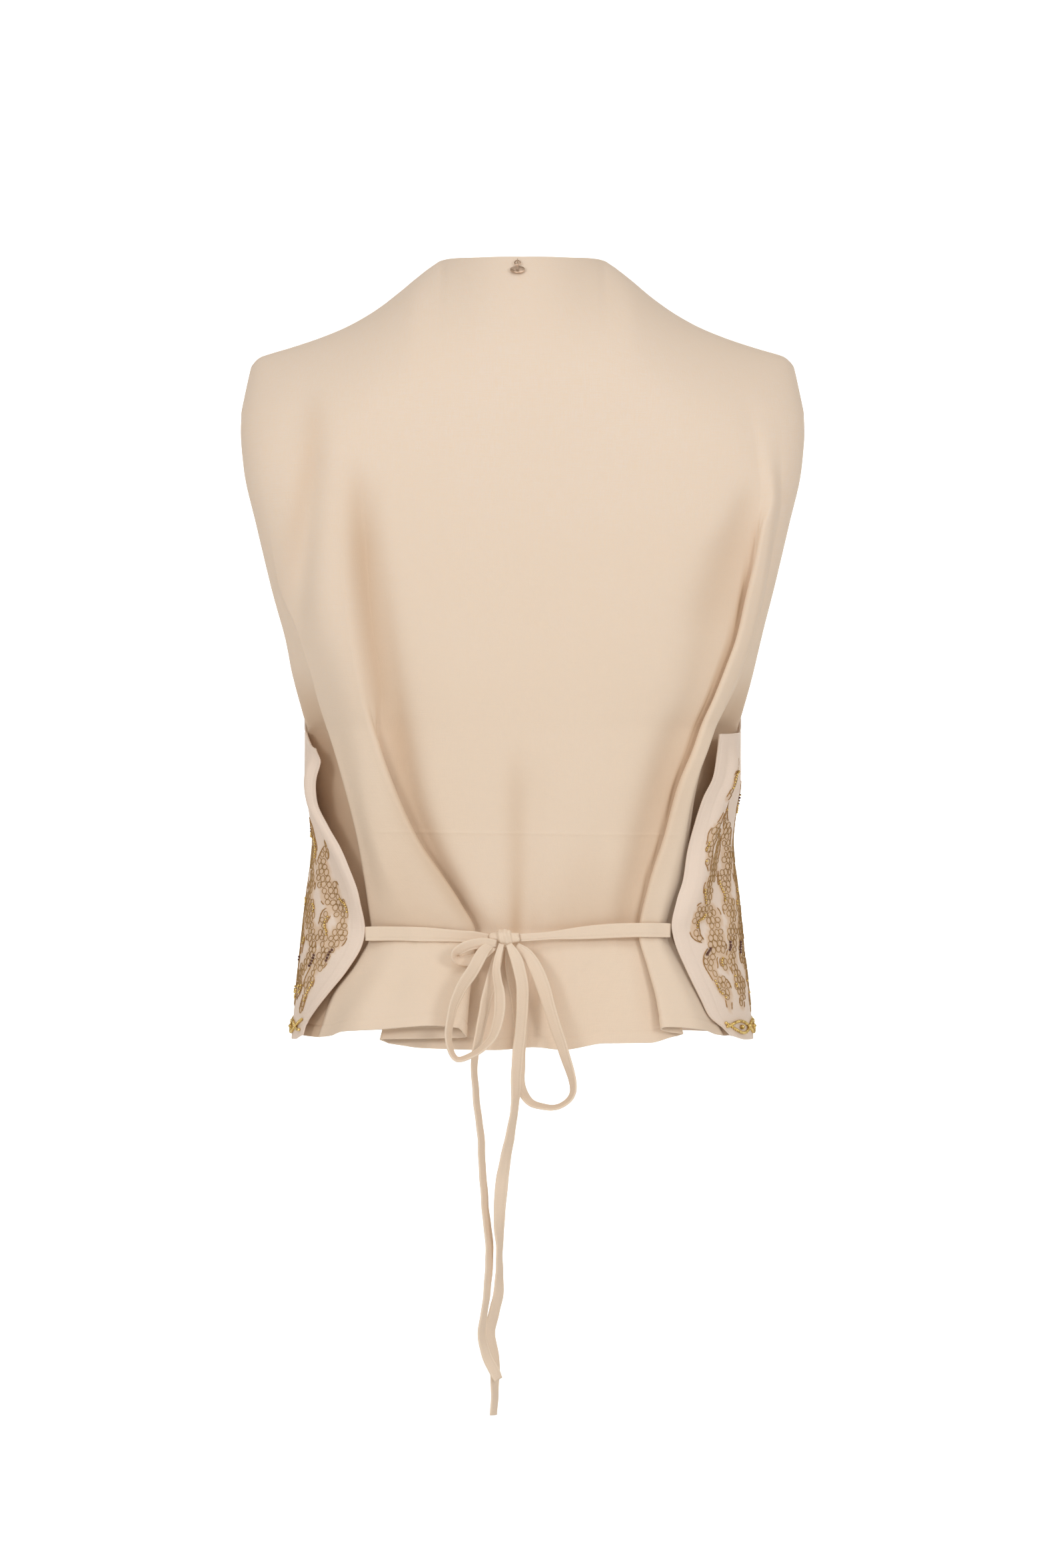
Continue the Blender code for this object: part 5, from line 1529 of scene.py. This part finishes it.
# %% Where the charm lies
CHARM_X, CHARM_HEIGHT, CHARM_DROP, CHARM_SLOPE_Z = -3.5, 2.7, 5.6, 29.0
RING_RADIUS = 2.0
EYE_RADIUS, EYE_WIRE, EYE_OVERLAP = 1.15, 0.35, 0.2
MEDALLION_HALF_WIDTH, MEDALLION_HALF_HEIGHT, MEDALLION_THICKNESS = 5.4, 3.3, 1.0
# Insets of the face, as width and depth: the flat rim, the step down, and the face that swells again
RIM_STEPS = ((0.55, 0.0), (0.12, -0.25), (1.2, 0.12))

charm_top = np.array([CHARM_X, -float(neck_depth(CHARM_X)), float(crest_z(CHARM_X))])
charm_rise = float(rounding(charm_top[2] - CHARM_SLOPE_Z, CHARM_X))
charm_depth = float(along(BACK, "depth", CHARM_SLOPE_Z))
charm_low = np.array([CHARM_X, charm_top[1] - (charm_depth + charm_top[1]) * charm_rise, CHARM_SLOPE_Z])
charm_down = unit(charm_low - charm_top)
charm_side = np.array([1.0, 0.0, 0.0])
charm_out = np.cross(charm_down, charm_side)
charm_pin = charm_top + charm_down * (CHARM_DROP + 2 * RING_RADIUS) + charm_out * CHARM_HEIGHT
for node, finish in (("charm_ring", aged_brass), ("charm_thread_loop", charm_thread)):
    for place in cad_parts[node].material_slots:
        place.material = finish
print("charm hangs from", charm_pin.round(1))

# %% The medallion
def place_flat_piece(piece, middle):
    turn = Matrix(np.column_stack([charm_side, -charm_down, charm_out]).tolist()).to_4x4()
    piece.data.transform(Matrix.Translation((middle * MM).tolist()) @ turn @ piece.matrix_basis)
    piece.matrix_basis = Matrix.Identity(4)


deselect_all()
bpy.ops.mesh.primitive_cylinder_add(vertices=64, radius=MM, depth=MEDALLION_THICKNESS * MM)
medallion = bpy.context.active_object
medallion.name = "blank_medallion"
medallion.scale = (MEDALLION_HALF_WIDTH, MEDALLION_HALF_HEIGHT, 1.0)
bpy.ops.object.transform_apply(location=False, rotation=False, scale=True)
bpy.ops.object.mode_set(mode="EDIT")
bpy.ops.mesh.select_all(action="DESELECT")
bpy.ops.object.mode_set(mode="OBJECT")
for face in medallion.data.polygons:
    face.select = abs(face.normal.z) > 0.9
bpy.ops.object.mode_set(mode="EDIT")
for rim_width, rim_depth in RIM_STEPS:
    bpy.ops.mesh.inset(thickness=rim_width * MM, depth=rim_depth * MM)
bpy.ops.object.mode_set(mode="OBJECT")
soften = medallion.modifiers.new("Worn edges", "BEVEL")
soften.width = 0.16 * MM
soften.segments = 3
soften.angle_limit = math.radians(35.0)
apply_modifiers(medallion)
medallion.data.shade_smooth()
place_flat_piece(medallion, charm_pin + charm_down * (EYE_RADIUS + MEDALLION_HALF_HEIGHT - EYE_OVERLAP))
medallion.data.materials.clear()
medallion.data.materials.append(aged_brass)

deselect_all()
bpy.ops.mesh.primitive_torus_add(
    major_radius=EYE_RADIUS * MM, minor_radius=EYE_WIRE * MM, major_segments=32, minor_segments=12,
    rotation=(0.0, math.pi / 2, 0.0),
)
eye = bpy.context.active_object
eye.name = "medallion_eye"
eye.data.shade_smooth()
place_flat_piece(eye, charm_pin)
eye.data.materials.append(aged_brass)
for piece in (medallion, eye):
    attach(piece, "charm_medallion")
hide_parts("charm_medallion")
print("medallion", len(medallion.data.polygons), "faces")

# %% [markdown]
# ## Floor and light
#
# The floor is plain and pale and curves up far behind the garment, so that no horizon shows. Two soft
# lights beside the camera and one above model the folds gently, and the world fills the shadows. A
# fourth, wide light behind the garment shines only on the rising backdrop and turns it white.

# %% Studio sweep
FLOOR_Z = -1.45
SWEEP_HALF_WIDTH, SWEEP_RADIUS, SWEEP_TOP = 6.0, 1.6, 5.0
SWEEP_NEAR, SWEEP_FAR = -7.0, 4.7
SWEEP_SIDES = (-SWEEP_HALF_WIDTH, SWEEP_HALF_WIDTH)

bend = np.linspace(0, math.pi / 2, 17)
profile = [(SWEEP_NEAR, 0.0)]
profile += [(SWEEP_FAR + SWEEP_RADIUS * math.sin(t), SWEEP_RADIUS * (1 - math.cos(t))) for t in bend]
profile.append((SWEEP_FAR + SWEEP_RADIUS, SWEEP_TOP))
sweep_points = np.array([[(x, y, FLOOR_Z + z) for x in SWEEP_SIDES] for y, z in profile])
sweep_faces = grid_faces(len(profile), 2)[:, ::-1].tolist()
studio_white, tree, shader = new_finish("studio_white", (0.94, 0.94, 0.94), roughness=0.9)
grain = noise(tree, coordinates(tree)["Object"], 60.0)
paper = mix_colours(tree, grain, (0.93, 0.93, 0.93), (0.95, 0.95, 0.95))
tree.links.new(paper, shader.inputs["Base Color"])
floor = make_piece("studio_floor", sweep_points.reshape(-1, 3) / MM, sweep_faces, studio_white)
print("sweep:", len(profile), "rows")

# %% Lights and world
# Each light: its place, what it faces, its width and height in metres, and its power in watts
LIGHTS = {
    "front left": ((-2.2, -3.1, 0.7), (0.0, 0.0, -0.3), (0.9, 0.9), 25.0),
    "front right": ((2.1, -3.2, 0.6), (0.0, 0.0, -0.3), (0.9, 0.9), 25.0),
    "top": ((0.0, -1.9, 2.1), (0.0, 0.0, -0.1), (2.6, 1.2), 14.0),
    "backdrop": ((0.0, 2.6, -1.3), (0.0, 6.2, 0.7), (6.0, 0.6), 370.0),
}
WORLD_COLOUR, WORLD_STRENGTH = (1.0, 0.93, 0.85, 1.0), 0.5

world = bpy.data.worlds.new("studio")
world.use_nodes = True
world.node_tree.nodes["Background"].inputs["Color"].default_value = WORLD_COLOUR
world.node_tree.nodes["Background"].inputs["Strength"].default_value = WORLD_STRENGTH
bpy.context.scene.world = world
for name, (place, aim, size, power) in LIGHTS.items():
    data = bpy.data.lights.new(name, "AREA")
    data.shape = "RECTANGLE"
    data.size, data.size_y = size
    data.energy = power
    light = bpy.data.objects.new(name, data)
    light.location = place
    light.rotation_euler = (Vector(aim) - light.location).to_track_quat("-Z", "Y").to_euler()
    bpy.context.scene.collection.objects.link(light)
bpy.context.scene.view_settings.view_transform = "Standard"
print("lights:", ", ".join(LIGHTS))
